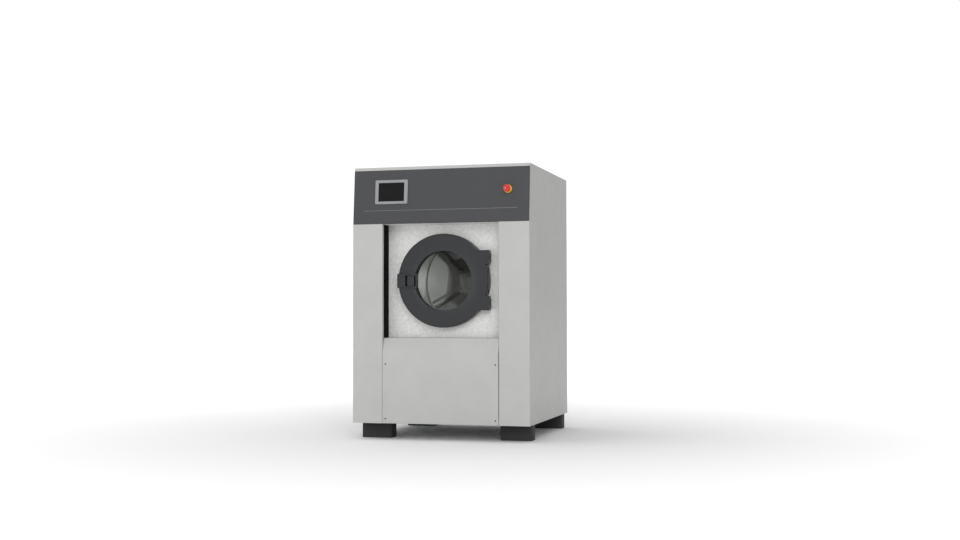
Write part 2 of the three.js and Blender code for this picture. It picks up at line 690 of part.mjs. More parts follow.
function makeDrumDrive() {
  const start = DRUM.back - DISH.depth + DISH.sheet + GAP;
  const neck = SHAFT.radius;
  const shaft = [
    [0, start],
    [SHAFT.flange, start],
    [SHAFT.flange, start + SHAFT.thick],
    [neck, start + SHAFT.thick],
    [neck, SHAFT.end],
    [0, SHAFT.end],
  ];
  piece(drum, "drum_shaft", turnedY(shaft, 24), steel);

  const seat = BEARING.outer + GAP;
  const { flange, thick, radius: body, back } = BEARING_CASE;
  const mount = REAR_SHEET.back + GAP;
  const housing = [
    [seat, mount],
    [flange, mount],
    [flange, REAR_SHEET.back + thick],
    [body, REAR_SHEET.back + thick],
    [body, back],
    [seat, back],
  ];
  piece(drum, "bearing_housing", turnedY(housing, 32), castIron);
  for (const place of ["front", "rear"]) {
    const race = ring(neck + GAP, BEARING.outer, BEARING[place], BEARING[place] + BEARING.width);
    piece(drum, `drum_bearing_${place}`, turnedY(race, 32), steel);
  }

  const { radius, y0, y1 } = PULLEY;
  const hub = PULLEY_HUB;
  const rim = radius - PULLEY.rim;
  const wheel = [
    [neck + GAP, hub.y0],
    [hub.radius, hub.y0],
    [hub.radius, hub.webFront],
    [rim, hub.webFront],
    [rim, y0],
    [radius, y0],
    [radius, y1],
    [rim, y1],
    [rim, hub.webBack],
    [hub.radius, hub.webBack],
    [hub.radius, hub.y1],
    [neck + GAP, hub.y1],
  ];
  piece(drum, "drum_pulley", turnedY(wheel, 48), castIron);
}

// ---- belt drive ----

function makeMotor() {
  const { x, z, radius, front, back, shaft, pulley } = MOTOR;
  const body = turnedY(rod(radius, front, back), 24, x, z);
  const floor = BASE + TRAY.sheet + GAP;
  const half = MOTOR_FOOT.half;
  const foot = box(x - half, x + half, MOTOR_FOOT.front, MOTOR_FOOT.back, floor, MOTOR_FOOT.top);
  piece(machine, "drive_motor", body.add(foot), motorPaint);
  const wheel = [
    [0, back + GAP],
    [shaft, back + GAP],
    [shaft, PULLEY.y0],
    [pulley, PULLEY.y0],
    [pulley, PULLEY.y1],
    [shaft, PULLEY.y1],
    [0, PULLEY.y1],
  ];
  piece(machine, "motor_pulley", turnedY(wheel, 32, x, z), castIron);
}

// The open belt round the two pulleys: an arc on each, joined by their common tangents.
function beltLoop(offset) {
  const big = PULLEY.radius + offset;
  const small = MOTOR.pulley + offset;
  const down = Math.atan2(MOTOR.z - AXIS_HEIGHT, MOTOR.x);
  const distance = Math.hypot(MOTOR.x, MOTOR.z - AXIS_HEIGHT);
  const wrap = Math.acos((big - small) / distance);
  const toDegrees = THREE.MathUtils.radToDeg;
  return [
    ...arc(0, AXIS_HEIGHT, big, toDegrees(down + wrap), toDegrees(down - wrap + 2 * Math.PI), 40),
    ...arc(MOTOR.x, MOTOR.z, small, toDegrees(down - wrap), toDegrees(down + wrap), 12),
  ];
}

function makeBelt() {
  const belt = alongY(beltLoop(6), PULLEY.y0 + 5, PULLEY.y1 - 5, [beltLoop(0.8)]);
  piece(machine, "drive_belt", belt, rubber);
}

// ---- air path ----

// The blower's volute in [y, z] about the wheel's axis, with its outlet running to the back.
function volute(inset) {
  const { start, sweep, small, large, mouth } = VOLUTE;
  const outlet = VOLUTE.outlet + inset;
  const steps = 28;
  const spiral = Array.from({ length: steps + 1 }, (_, i) => {
    const share = i / steps;
    const angle = THREE.MathUtils.degToRad(start + sweep * share);
    const radius = small + (large - small) * share - inset;
    return [radius * Math.cos(angle), radius * Math.sin(angle)];
  });
  return [...spiral, [outlet, inset - large], [outlet, mouth - inset]];
}

function makeBlower() {
  const { half, wheel, inlet: eye, wall } = BLOWER;
  const { radius, hole, hub: hubRadius } = BLOWER_SHAFT;
  const shell = alongX(volute(0), -half, half);
  const hollow = alongX(volute(wall), wall - half, half - wall);
  const inlet = turnedX(rod(eye, half - 5, half + 5), 32);
  const shaftHole = turnedX(rod(hole, -half - 5, 5 - half), 16);
  const stand = box(-half, half, -60, 60, BASE + TRAY.sheet + GAP - BLOWER.z, 8 - VOLUTE.large);
  const housing = shell.add(stand).subtract(hollow).subtract(inlet).subtract(shaftHole);
  piece(blower, "blower_housing", housing, zinc);

  const discBack = 12 - half; // the wheel's back disc carries the blades and faces the inlet
  const disc = turnedX(rod(wheel, discBack, discBack + 3), 32);
  const hub = turnedX(rod(hubRadius, discBack, 10), 16);
  const shaft = turnedX(rod(radius, GAP - half, discBack + 1), 12);
  const rim = ring(BLADE.centre - BLADE.height / 2, wheel, 52, 55);
  let rotor = disc.add(hub).add(shaft).add(turnedX(rim, 32));
  for (let i = 0; i < BLADE.count; i += 1) {
    const blade = new THREE.BoxGeometry(BLADE.length, BLADE.height, BLADE.thick);
    blade.translate(discBack + 2 + BLADE.length / 2, BLADE.centre, 0);
    blade.rotateX((2 * Math.PI * i) / BLADE.count);
    rotor = rotor.add(solidOf(blade));
  }
  piece(blower, "blower_wheel", rotor, zinc);
  const motor = rod(BLOWER_MOTOR.radius, -half - BLOWER_MOTOR.length, -half - GAP);
  piece(blower, "blower_motor", turnedX(motor, 24), motorPaint);
}

function makeSpigot() {
  const { radius, wall, z, flange: half, thick } = SPIGOT;
  const back = DEPTH + GAP;
  const pipe = turnedY(ring(radius - wall, radius, back, SPIGOT_END), 32, BLOWER.x, z);
  const flange = rectangle(BLOWER.x - half, BLOWER.x + half, z - half, z + half);
  const bore = circle(BLOWER.x, z, radius - wall, 32);
  piece(machine, "exhaust_spigot", alongY(flange, back, back + thick, [bore]).add(pipe), zinc);
}

function makeHeater() {
  const { half, front, back, low, high } = HEATER;
  const inner = half - SHEET;
  const shell = box(-half, half, front, back, low, high);
  const hollow = box(-inner, inner, front + SHEET, back + SHEET, low + SHEET, high - SHEET);
  const outlet = box(
    2 - AIR_IN.half,
    AIR_IN.half - 2,
    AIR_IN.front + 2,
    AIR_IN.back - 2,
    low - 1,
    low + SHEET + 1,
  );
  piece(machine, "heater_box", shell.subtract(hollow).subtract(outlet), zinc);

  // A serpentine tube: level runs joined by half-round bends.
  const { runs, rise, reach, bend, y } = ELEMENT;
  const path = new THREE.CurvePath();
  for (let i = 0; i < runs; i += 1) {
    const side = i % 2 ? 1 : -1;
    const z = ELEMENT.low + i * rise;
    const from = new THREE.Vector3(side * reach, y, z);
    const to = new THREE.Vector3(-side * reach, y, z);
    path.add(new THREE.LineCurve3(from, to));
    if (i < runs - 1) {
      const out = new THREE.Vector3(-side * (reach + bend), y, z + rise / 2);
      path.add(new THREE.QuadraticBezierCurve3(to, out, new THREE.Vector3(-side * reach, y, z + rise)));
    }
  }
  const section = new THREE.Shape(vectors(circle(0, 0, ELEMENT.radius, 6)));
  const tube = new THREE.ExtrudeGeometry(section, { steps: 60, extrudePath: path });
  piece(machine, "heater_element", solidOf(tube), steel);
}

function makeLintScreen() {
  const { half, front, back, low, high, rim, floor } = LINT;
  const frame = box(-half, half, front, back, low, high);
  const tray = box(rim - half, half - rim, front + rim, back - rim, low + floor, high + 1);
  piece(machine, "lint_screen", frame.subtract(tray), stainless);
}

makeFeet();
makeBase();
makePosts();
makeSidePanels();
makeTopPanel();
makeRearPanel();
makeColumns();
makeLowerPanel();
makeBulkheads();
makeFascia();
makeTouchscreen();
makeEmergencyStop();
makeControlBox();
makeDoorRing();
makeDoorGlass();
makeDoorGasket();
makeHinges();
makeHandle();
makeLever();
makeKeeper();
makeDrum();
makeDrumHousing();
makeDrumDrive();
makeMotor();
makeBelt();
makeBlower();
makeSpigot();
makeHeater();
makeLintScreen();

const dryer = new THREE.Group();
dryer.add(machine);

export default dryer;
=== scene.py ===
"""A commercial tumble dryer: the looks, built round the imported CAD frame.

Metres, +Z up, the door towards -Y. Most places and sizes come from the CAD nodes' boxes, and
the rest are named beside the functions that use them.
"""

import json
import math

import bmesh
import bpy
from mathutils import Matrix, Vector


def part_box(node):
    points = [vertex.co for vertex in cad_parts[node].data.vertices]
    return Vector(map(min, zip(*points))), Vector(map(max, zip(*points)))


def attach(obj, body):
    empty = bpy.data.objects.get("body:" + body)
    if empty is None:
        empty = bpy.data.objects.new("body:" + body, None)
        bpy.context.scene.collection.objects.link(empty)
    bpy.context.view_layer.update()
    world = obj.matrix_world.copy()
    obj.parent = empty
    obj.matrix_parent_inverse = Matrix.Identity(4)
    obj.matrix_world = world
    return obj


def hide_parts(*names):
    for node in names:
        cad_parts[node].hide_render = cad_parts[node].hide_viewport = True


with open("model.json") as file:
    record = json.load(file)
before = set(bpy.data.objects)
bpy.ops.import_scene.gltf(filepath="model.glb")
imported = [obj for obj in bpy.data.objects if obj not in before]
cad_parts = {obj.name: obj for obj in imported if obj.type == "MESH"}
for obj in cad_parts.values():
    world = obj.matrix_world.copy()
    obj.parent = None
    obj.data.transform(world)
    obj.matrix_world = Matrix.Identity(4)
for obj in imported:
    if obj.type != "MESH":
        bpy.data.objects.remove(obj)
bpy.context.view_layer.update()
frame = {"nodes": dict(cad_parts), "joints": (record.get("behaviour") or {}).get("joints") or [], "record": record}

MM = 0.001
RECORD = frame["record"]
SLOT_OF = {part["node"]: part["material_slot"] for part in RECORD["subparts"]}
BODY_OF = {
    node: body for body, nodes in RECORD["behaviour"]["bodies"].items() for node in nodes
}
FRONT = Matrix.Identity(4)  # turns a piece made facing -Y towards another side
RIGHT = Matrix.Rotation(math.radians(90), 4, "Z")
LEFT = Matrix.Rotation(math.radians(-90), 4, "Z")
REAR = Matrix.Rotation(math.radians(180), 4, "Z")


class Sizes:
    """Named sizes, given in millimetres and kept in metres."""

    def __init__(self, **sizes):
        for name, size in sizes.items():
            setattr(self, name, size * MM)


def low(node):
    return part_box(node)[0]


def high(node):
    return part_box(node)[1]


def middle(node):
    return (low(node) + high(node)) / 2


def centre_of(node):
    """Where a node's middle is across the machine and up."""
    return (middle(node).x, middle(node).z)


SHEET = high("side_panel_right").x - low("side_panel_right").x
FACE = low("front_column_left").y  # the machine's front plane
BACK = high("rear_panel").y
AXIS = middle("door_glass")  # on the common axis of door and drum
RECESS = high("front_bulkhead").y - SHEET  # the recessed front's face

# The control fascia leans back about its bottom edge. In its own frame y = 0 is its face,
# y runs into the machine and z up along the face.
JOINTS = {joint["name"]: joint for joint in frame["joints"]}
PUSH = JOINTS["estop_push"]["axis"]
LEAN = math.atan2(-PUSH[2], PUSH[1])
FASCIA_FOOT = low("control_fascia").z
LEANING = Matrix.Translation((0, FACE, FASCIA_FOOT)) @ Matrix.Rotation(-LEAN, 4, "X")


def lean_at(z):
    """How far the fascia's face stands behind the front plane at a height."""
    return (z - FASCIA_FOOT) * math.tan(LEAN)


def leaning_box(node):
    """The lowest and highest corner of a node in the fascia's own frame."""
    back = LEANING.inverted()
    points = [back @ vertex.co for vertex in frame["nodes"][node].data.vertices]
    lo = Vector([min(point[i] for point in points) for i in range(3)])
    hi = Vector([max(point[i] for point in points) for i in range(3)])
    return lo, hi


# ---- materials ----


class Nodes:
    """A node tree, and the two ways to build it."""

    def __init__(self, tree):
        self.tree = tree

    def add(self, kind, **values):
        """A node. Values name its inputs, or else its own settings in small letters."""
        node = self.tree.nodes.new(kind)
        for name, value in values.items():
            if name.islower():
                setattr(node, name, value)
            else:
                self.feed(node.inputs[name.replace("_", " ")], value)
        return node

    def feed(self, socket, value):
        if isinstance(value, bpy.types.NodeSocket):
            self.tree.links.new(value, socket)
        else:
            socket.default_value = value


class Shader(Nodes):
    """A node material whose textures use the piece's own metres."""

    def __init__(self, name):
        self.material = bpy.data.materials.new(name)
        self.material.use_nodes = True
        super().__init__(self.material.node_tree)
        self.surface = self.tree.nodes["Principled BSDF"]
        self.output = self.tree.nodes["Material Output"]
        self.place = self.add("ShaderNodeTexCoord").outputs["Object"]

    def set(self, name, value):
        self.feed(self.surface.inputs[name], value)

    def stretched(self, scale):
        return self.add("ShaderNodeMapping", Vector=self.place, Scale=scale).outputs["Vector"]

    def noise(self, scale, detail=2.0, place=None):
        node = self.add("ShaderNodeTexNoise", Vector=place or self.place, Scale=scale, Detail=detail)
        return node.outputs["Fac"]

    def cells(self, scale, output="Distance", feature="F1"):
        node = self.add("ShaderNodeTexVoronoi", Vector=self.place, Scale=scale, feature=feature)
        return node.outputs[output]

    def ranged(self, value, start, stop, source=(0.25, 0.75)):
        """The value, spread over source, moved to run from start to stop."""
        node = self.add("ShaderNodeMapRange", Value=value, To_Min=start, To_Max=stop)
        self.feed(node.inputs["From Min"], source[0])
        self.feed(node.inputs["From Max"], source[1])
        return node.outputs["Result"]

    def tinted(self, texture, colour, dark, light):
        """The base colour: the colour times dark to light, as the texture runs from 0 to 1."""
        node = self.add("ShaderNodeMix", data_type="RGBA")
        self.feed(node.inputs["Factor"], texture)
        for name, share in (("A", dark), ("B", light)):
            self.feed(node.inputs[name], (*[share * channel for channel in colour], 1))
        self.set("Base Color", node.outputs["Result"])

    def varied(self, colour, share, scale, detail=2.0):
        """The base colour, darker and lighter by a share in patches of 1 / scale metres."""
        self.tinted(self.ranged(self.noise(scale, detail), 0, 1), colour, 1 - share, 1 + share)

    def rough(self, texture, start, stop):
        """Roughness from start to stop, as the texture has it."""
        self.set("Roughness", self.ranged(texture, start, stop))

    def bump(self, *layers):
        """Raises each (height texture, depth in metres) layer over the one before."""
        normal = None
        for height, depth in layers:
            node = self.add("ShaderNodeBump", Height=height, Distance=depth)
            if normal is not None:
                self.feed(node.inputs["Normal"], normal)
            normal = node.outputs["Normal"]
        self.set("Normal", normal)


def powder_coat(shader, colour, roughness, specular=0.4, peel=0.03 * MM):
    """Sprayed and baked paint on sheet steel, with a fine orange peel."""
    shader.varied(colour, 0.03, 9, 3)
    shader.rough(shader.noise(35, 4), roughness - 0.05, roughness + 0.05)
    shader.set("Specular IOR Level", specular)
    shader.bump((shader.noise(260, 1), 4 * peel), (shader.noise(1100), peel))


def embossed_stainless(shader, colour):
    """Pale stainless sheet rolled with a pattern of small shallow hammer marks."""
    marks = shader.cells(95, feature="SMOOTH_F1")
    shader.varied(colour, 0.12, 60, 3)
    shader.set("Metallic", 0.3)
    shader.rough(shader.noise(120, 3), 0.38, 0.52)
    shader.bump((marks, 0.5 * MM), (shader.noise(900), 0.02 * MM))


def brushed_steel(shader, colour, roughness, grain, metallic=1.0):
    """Stainless or turned steel. Grain is the texture scale along each axis."""
    streaks = shader.noise(1, 3, shader.stretched(grain))
    shader.tinted(shader.ranged(streaks, 0, 1), colour, 0.86, 1)
    shader.set("Metallic", metallic)
    shader.rough(shader.noise(14, 3), roughness - 0.05, roughness + 0.05)
    shader.bump((streaks, 0.006 * MM))


def galvanised(shader, colour):
    """Zinc-coated sheet: frosted flakes about 12 mm across, each with its own tone."""
    flakes = shader.cells(80, "Color")
    tone = shader.add("ShaderNodeSeparateColor", Color=flakes).outputs["Red"]
    shader.tinted(tone, colour, 0.78, 1.12)
    shader.set("Metallic", 0.85)
    shader.set("Roughness", shader.ranged(tone, 0.36, 0.56, (0, 1)))
    shader.bump((tone, 0.03 * MM), (shader.noise(700), 0.02 * MM))


def casting(shader, colour):
    """Sand-cast iron under a thin coat of paint."""
    shader.varied(colour, 0.16, 40, 4)
    shader.set("Metallic", 0.2)
    shader.rough(shader.noise(90, 3), 0.55, 0.75)
    shader.bump((shader.noise(240, 4), 0.5 * MM), (shader.cells(500), 0.12 * MM))


def enamel(shader, colour):
    """Hammered enamel on a motor frame."""
    hammered = shader.cells(210, feature="SMOOTH_F1")
    shader.varied(colour, 0.12, 120, 2)
    shader.rough(shader.noise(60), 0.3, 0.42)
    shader.set("Coat Weight", 0.25)
    shader.bump((hammered, 0.25 * MM))


def moulded(shader, colour, roughness, specular=0.4):
    """Plastic or rubber from a spark-eroded mould: a fine even grain, faintly dusty."""
    shader.varied(colour, 0.08, 26, 4)
    shader.rough(shader.noise(45, 3), roughness - 0.06, roughness + 0.06)
    shader.set("Specular IOR Level", specular)
    shader.bump((shader.noise(1600, 1), 0.06 * MM))


def polished(shader, colour, roughness):
    """Gloss plastic with faint rubbing marks."""
    shader.varied(colour, 0.05, 70, 2)
    marks = shader.noise(1, 4, shader.stretched((900, 120, 120)))
    shader.rough(marks, roughness - 0.03, roughness + 0.08)
    shader.set("Coat Weight", 0.3)
    shader.set("Coat Roughness", 0.08)
    shader.bump((shader.noise(500), 0.01 * MM))


def display_glass(shader, colour):
    """The black touch glass of a screen that is off, with finger smears in its gloss."""
    shader.varied(colour, 0.1, 30, 3)
    shader.rough(shader.noise(55, 5), 0.08, 0.24)
    shader.set("Specular IOR Level", 0.08)
    shader.bump((shader.noise(300), 0.004 * MM))


def clear_glass(shader, tint):
    """Toughened glass that lets light through, with a faint film on its gloss."""
    film = shader.ranged(shader.noise(22, 5), 0.01, 0.07)
    clear = shader.add("ShaderNodeBsdfTransparent", Color=(*tint, 1))
    gloss = shader.add("ShaderNodeBsdfGlossy", Roughness=film)
    edge = shader.add("ShaderNodeFresnel", IOR=1.12)
    both = shader.add("ShaderNodeMixShader")
    shader.feed(both.inputs[0], edge.outputs["Fac"])
    shader.feed(both.inputs[1], clear.outputs["BSDF"])
    shader.feed(both.inputs[2], gloss.outputs["BSDF"])
    shader.feed(shader.output.inputs["Surface"], both.outputs["Shader"])


ALONG_Y = (700, 6, 700)  # brushed or turned marks run along Y
LEVEL = (6, 6, 900)  # brushed marks run level

FINISHES = {
    "casing_paint": (powder_coat, (0.448, 0.448, 0.44), 0.42),
    "fascia_paint": (powder_coat, (0.05, 0.051, 0.055), 0.46),
    "door_paint": (powder_coat, (0.0145, 0.0158, 0.0178), 0.42, 0.5, 0.04 * MM),
    # Frame paint is made near-black and almost glossless, so the frame posts seen in the gaps beside the recess
    # panel show as painted shade.
    "frame_paint": (powder_coat, (0.006, 0.006, 0.0065), 0.7, 0.02),
    "recess_steel": (embossed_stainless, (0.75, 0.75, 0.735)),
    "drum_steel": (brushed_steel, (0.41, 0.41, 0.4), 0.31, ALONG_Y, 0.55),
    "galvanised_sheet": (galvanised, (0.52, 0.53, 0.54)),
    "plain_steel": (brushed_steel, (0.42, 0.42, 0.43), 0.32, LEVEL),
    "cast_iron": (casting, (0.075, 0.078, 0.082)),
    "motor_paint": (enamel, (0.035, 0.06, 0.1)),
    "black_plastic": (moulded, (0.014, 0.014, 0.016), 0.5),
    "bezel_plastic": (moulded, (0.27, 0.275, 0.28), 0.5, 0.25),
    "screen_black": (display_glass, (0.012, 0.012, 0.012)),
    "red_plastic": (polished, (0.55, 0.02, 0.02), 0.25),
    "yellow_plastic": (polished, (0.75, 0.48, 0.03), 0.3),
    "door_glass": (clear_glass, (0.96, 0.97, 0.965)),
    "foot_rubber": (moulded, (0.03, 0.03, 0.032), 0.62, 0.3),
    "seal_rubber": (moulded, (0.012, 0.012, 0.012), 0.6, 0.3),
}


def material_of(name):
    """One finish's material. The table gives its maker and what the maker takes."""
    finish, *looks = FINISHES[name]
    shader = Shader(name)
    finish(shader, *looks)
    return shader.material


MATERIALS = {name: material_of(name) for name in FINISHES}


# ---- meshes ----


def linked(name, data):
    """A new object in the scene, holding a mesh, a lamp or a camera."""
    obj = bpy.data.objects.new(name, data)
    bpy.context.scene.collection.objects.link(obj)
    return obj


def bands(rows):
    """Faces between each row of points and the next, each row closed round."""
    faces = []
    for near, far in zip(rows, rows[1:]):
        for i in range(len(near)):
            j = (i + 1) % len(near)
            faces.append((near[i], near[j], far[j], far[i]))
    return faces


def object_from(name, points, faces):
    mesh = bpy.data.meshes.new(name)
    mesh.from_pydata([tuple(point) for point in points], [], faces)
    tidy_mesh(mesh)
    return linked(name, mesh)


def tidy_mesh(mesh):
    """Merges doubled points and turns the faces outwards."""
    bm = bmesh.new()
    bm.from_mesh(mesh)
    bmesh.ops.remove_doubles(bm, verts=bm.verts, dist=0.005 * MM)
    bmesh.ops.dissolve_degenerate(bm, edges=bm.edges, dist=0.001 * MM)
    bmesh.ops.recalc_face_normals(bm, faces=bm.faces)
    bm.to_mesh(mesh)
    bm.free()


def bevel(obj, width, segments, sharp):
    """Rounds every edge that turns by more than sharp degrees, and leaves the shading."""
    rounding = obj.modifiers.new("rounded_edges", "BEVEL")
    rounding.width = width
    rounding.segments = segments
    rounding.limit_method = "ANGLE"
    rounding.angle_limit = math.radians(sharp)
    return rounding


def soften(obj, width, segments=3, sharp=35):
    """Rounded edges between faces that stay flat to the eye."""
    bevel(obj, width, segments, sharp).harden_normals = True
    obj.data.shade_smooth()
    return obj


def smooth(obj, sharp=32):
    """Smooth shading that keeps the edges that turn by more than sharp degrees."""
    obj.data.shade_smooth()
    obj.data.set_sharp_from_angle(angle=math.radians(sharp))
    normals = obj.modifiers.new("even_normals", "WEIGHTED_NORMAL")
    normals.keep_sharp = True
    return obj


def thickened(obj, thickness):
    """A surface given a sheet's thickness on the side that its faces point to."""
    solid = obj.modifiers.new("thickness", "SOLIDIFY")
    solid.thickness = thickness
    solid.offset = 1
    return obj


def moved(obj, matrix):
    obj.data.transform(matrix)
    return obj


def settled(obj):
    """The object with its modifiers applied to its mesh."""
    bpy.context.view_layer.update()
    evaluated = obj.evaluated_get(bpy.context.evaluated_depsgraph_get())
    mesh = bpy.data.meshes.new_from_object(evaluated)
    obj.modifiers.clear()
    obj.data = mesh
    return obj


def changed(obj, operation, others):
    """The object with the others added or cut away."""
    for other in others:
        change = obj.modifiers.new("change", "BOOLEAN")
        change.operation = operation
        change.solver = "EXACT"
        change.object = other
    settled(obj)
    for other in others:
        bpy.data.objects.remove(other)
    tidy_mesh(obj.data)
    return obj


def cut(obj, *others):
    return changed(obj, "DIFFERENCE", others)


def added(obj, *others):
    return changed(obj, "UNION", others)


def joined(name, objects):
    """One object from several, whose meshes stay separate."""
    bm = bmesh.new()
    for obj in objects:
        settled(obj)
        bm.from_mesh(obj.data)
        bpy.data.objects.remove(obj)
    mesh = bpy.data.meshes.new(name)
    bm.to_mesh(mesh)
    bm.free()
    return linked(name, mesh)


ALONG = {
    "X": lambda u, v, w: (w, u, v),
    "Y": lambda u, v, w: (u, w, v),
    "Z": lambda u, v, w: (u, v, w),
}


def about(centre, half):
    """The (low, high) pair that reaches half to each side of a centre."""
    return (centre - half, centre + half)


def block(name, x, y, z):
    """A box from three (low, high) pairs."""
    points = [(x[i], y[j], z[k]) for i in (0, 1) for j in (0, 1) for k in (0, 1)]
    faces = [(0, 1, 3, 2), (4, 6, 7, 5), (0, 4, 5, 1), (2, 3, 7, 6), (0, 2, 6, 4), (1, 5, 7, 3)]
    return object_from(name, points, faces)


def swept(name, outline, along, start, stop):
    """A closed outline stretched along an axis."""
    count = len(outline)
    points = [ALONG[along](u, v, w) for w in (start, stop) for u, v in outline]
    ends = [range(count), range(count, 2 * count)]
    return object_from(name, points, bands(ends) + ends)


def turned(name, profile, segments=128, centre=(AXIS.x, AXIS.z)):
    """A closed profile of (radius, y) points turned about a line along Y."""
    count = len(profile)
    points = []
    for step in range(segments):
        angle = 2 * math.pi * step / segments
        points += [
            (centre[0] + r * math.cos(angle), y, centre[1] + r * math.sin(angle))
            for r, y in profile
        ]
    rows = [range(step * count, (step + 1) * count) for step in range(segments)]
    return object_from(name, points, bands([*rows, rows[0]]))


def bar(name, radius, start, stop, segments, centre=(AXIS.x, AXIS.z)):
    """A round bar along Y."""
    profile = [(0, start), (radius, start), (radius, stop), (0, stop)]
    return turned(name, profile, segments, centre)


def arc(u, v, radius, start, stop, steps):
    """Points round (u, v) from start to stop degrees."""
    angles = [math.radians(start + (stop - start) * i / steps) for i in range(steps + 1)]
    return [(u + radius * math.cos(a), v + radius * math.sin(a)) for a in angles]


def rounded(u, v, radius, steps=6):
    """A rectangle from two (low, high) pairs, with round corners."""
    corners = [(u[1], v[0], -90), (u[1], v[1], 0), (u[0], v[1], 90), (u[0], v[0], 180)]
    points = []
    for cu, cv, start in corners:
        inward_u = radius if cu == u[0] else -radius
        inward_v = radius if cv == v[0] else -radius
        points += arc(cu + inward_u, cv + inward_v, radius, start, start + 90, steps)
    return points


def filleted(points, radius, steps=5):
    """An open path with each inner corner turned into an arc."""
    path = [Vector(points[0])]
    for before, corner, after in zip(points, points[1:], points[2:]):
        corner = Vector(corner)
        back = (Vector(before) - corner).normalized()
        ahead = (Vector(after) - corner).normalized()
        half = back.angle(ahead) / 2
        centre = corner + (back + ahead).normalized() * radius / math.sin(half)
        reach = radius / math.tan(half)
        first = corner + back * reach - centre
        last = corner + ahead * reach - centre
        start = math.atan2(first.y, first.x)
        sweep = math.atan2(last.y, last.x) - start
        sweep = (sweep + math.pi) % (2 * math.pi) - math.pi
        for i in range(steps + 1):
            angle = start + sweep * i / steps
            path.append(centre + radius * Vector((math.cos(angle), math.sin(angle))))
    return path + [Vector(points[-1])]


def beside(path, distance):
    """The open path moved to its left by a distance."""
    lefts = []
    for here, there in zip(path, path[1:]):
        along = (there - here).normalized()
        lefts.append(Vector((-along.y, along.x)))
    shifted = []
    for i, point in enumerate(path):
        before = lefts[max(i - 1, 0)]
        after = lefts[min(i, len(lefts) - 1)]
        shifted.append(point + (before + after) / (1 + before.dot(after)) * distance)
    return shifted


def folded_sheet(name, points, radius, along, start, stop):
    """Sheet metal folded along a path of corners, its thickness to the path's left."""
    path = filleted(points, radius)
    other = beside(path, SHEET)
    count = len(path)
    rows = [(path, start), (other, start), (path, stop), (other, stop)]
    vertices = [ALONG[along](p.x, p.y, w) for row, w in rows for p in row]
    faces = []
    for i in range(count - 1):
        for a, b in ((0, 1), (1, 3), (3, 2), (2, 0)):
            faces.append((a * count + i, a * count + i + 1, b * count + i + 1, b * count + i))
    for end in (0, count - 1):
        faces.append((end, count + end, 3 * count + end, 2 * count + end))
    sheet = object_from(name, vertices, faces)
    return soften(sheet, 0.3 * MM, 2, 60)


# ---- placing pieces ----


def add_piece(obj, slot, body="cabinet"):
    obj.data.materials.clear()
    obj.data.materials.append(MATERIALS[slot])
    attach(obj, body)
    return obj


def stand_for(obj, node):
    """The piece takes a CAD node's place, body and finish."""
    add_piece(obj, SLOT_OF[node], BODY_OF[node])
    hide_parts(node)
    return obj


SCREW_HEIGHT = 0.55  # of the head's radius


def screw_head(radius):
    """A pan-head screw with a cross recess, facing -Y from the origin."""
    height = SCREW_HEIGHT * radius
    profile = [(0, -height), *arc(radius - height, 0, height, -90, 0, 4), (0, 0)]
    head = turned("screw", profile, 20, (0, 0))
    length = 0.62 * radius
    width = 0.13 * radius
    depth = (-2 * height, -0.4 * height)
    bars = [
        block("bar", (-length, length), depth, (-width, width)),
        block("bar", (-width, width), depth, (-length, length)),
    ]
    return cut(head, *bars)


def screws(name, places, facing, radius, slot, body="cabinet"):
    """A row of equal screws, one at each place, all facing the same way."""
    master = screw_head(radius)
    heads = []
    for place in places:
        head = linked("head", master.data.copy())
        heads.append(moved(head, Matrix.Translation(place) @ facing))
    bpy.data.objects.remove(master)
    return add_piece(smooth(joined(name, heads)), slot, body)


# ---- casing ----

FOOT = Sizes(corner=15, edge=2)
FOLD = Sizes(top=3, column=7, lower=4, fascia=3)  # radii inside the folds
EDGE = Sizes(panel=0.7, recess=0.4, flange=0.5, nut=0.8)  # how far edges are rounded
SIDE_SCREWS = 7
SIDE_SCREW = Sizes(setback=170, first=255, pitch=179, radius=5.5, proud=0.8)
LOWER_SCREW = Sizes(x=299, low=110, high=396, radius=3.8)
REAR_SCREW = 4.5 * MM
LEDGE = Sizes(foot=463, setback=25)
HEM = Sizes(lower=15, fascia=12)
FASCIA = Sizes(end_gap=0.3, window_gap=2, stop_hole=12)
# The pale strip across the fascia is a painted highlight in place of a lit crease.
HIGHLIGHT_STRIP = Sizes(height=71, left=-419, right=415, width=1.4, proud=0.8, sunk=0.02, edge=0.2)


def make_feet():
    for row in ("front", "rear"):
        for side in ("left", "right"):
            node = f"foot_{row}_{side}"
            lo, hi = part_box(node)
            outline = rounded((lo.x, hi.x), (lo.y, hi.y), FOOT.corner, 8)
            foot = swept(node + "_block", outline, "Z", lo.z, hi.z)
            stand_for(soften(foot, FOOT.edge), node)


def make_side_panels():
    for side, facing in (("left", LEFT), ("right", RIGHT)):
        node = "side_panel_" + side
        lo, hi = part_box(node)
        outline = [
            (lo.y, lo.z),
            (hi.y, lo.z),
            (hi.y, hi.z),
            (lo.y + lean_at(hi.z), hi.z),
            (lo.y, FASCIA_FOOT),
        ]
        panel = swept(node + "_skin", outline, "X", lo.x, hi.x)
        stand_for(soften(panel, EDGE.panel), node)
        sunk = SCREW_HEIGHT * SIDE_SCREW.radius - SIDE_SCREW.proud
        x = lo.x + sunk if side == "left" else hi.x - sunk
        y = FACE + SIDE_SCREW.setback
        places = [(x, y, SIDE_SCREW.first + i * SIDE_SCREW.pitch) for i in range(SIDE_SCREWS)]
        screws(node + "_screws", places, facing, SIDE_SCREW.radius, "galvanised_sheet")


def make_top_panel():
    """The top sheet, folded down at the front into a lip that leans like the fascia."""
    lo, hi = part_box("top_panel")
    lip = (FACE + lean_at(lo.z), lo.z)
    corner = (FACE + lean_at(hi.z), hi.z)
    path = [(hi.y, hi.z), corner, lip]
    panel = folded_sheet("top_panel_skin", path, FOLD.top, "X", lo.x, hi.x)
    stand_for(panel, "top_panel")


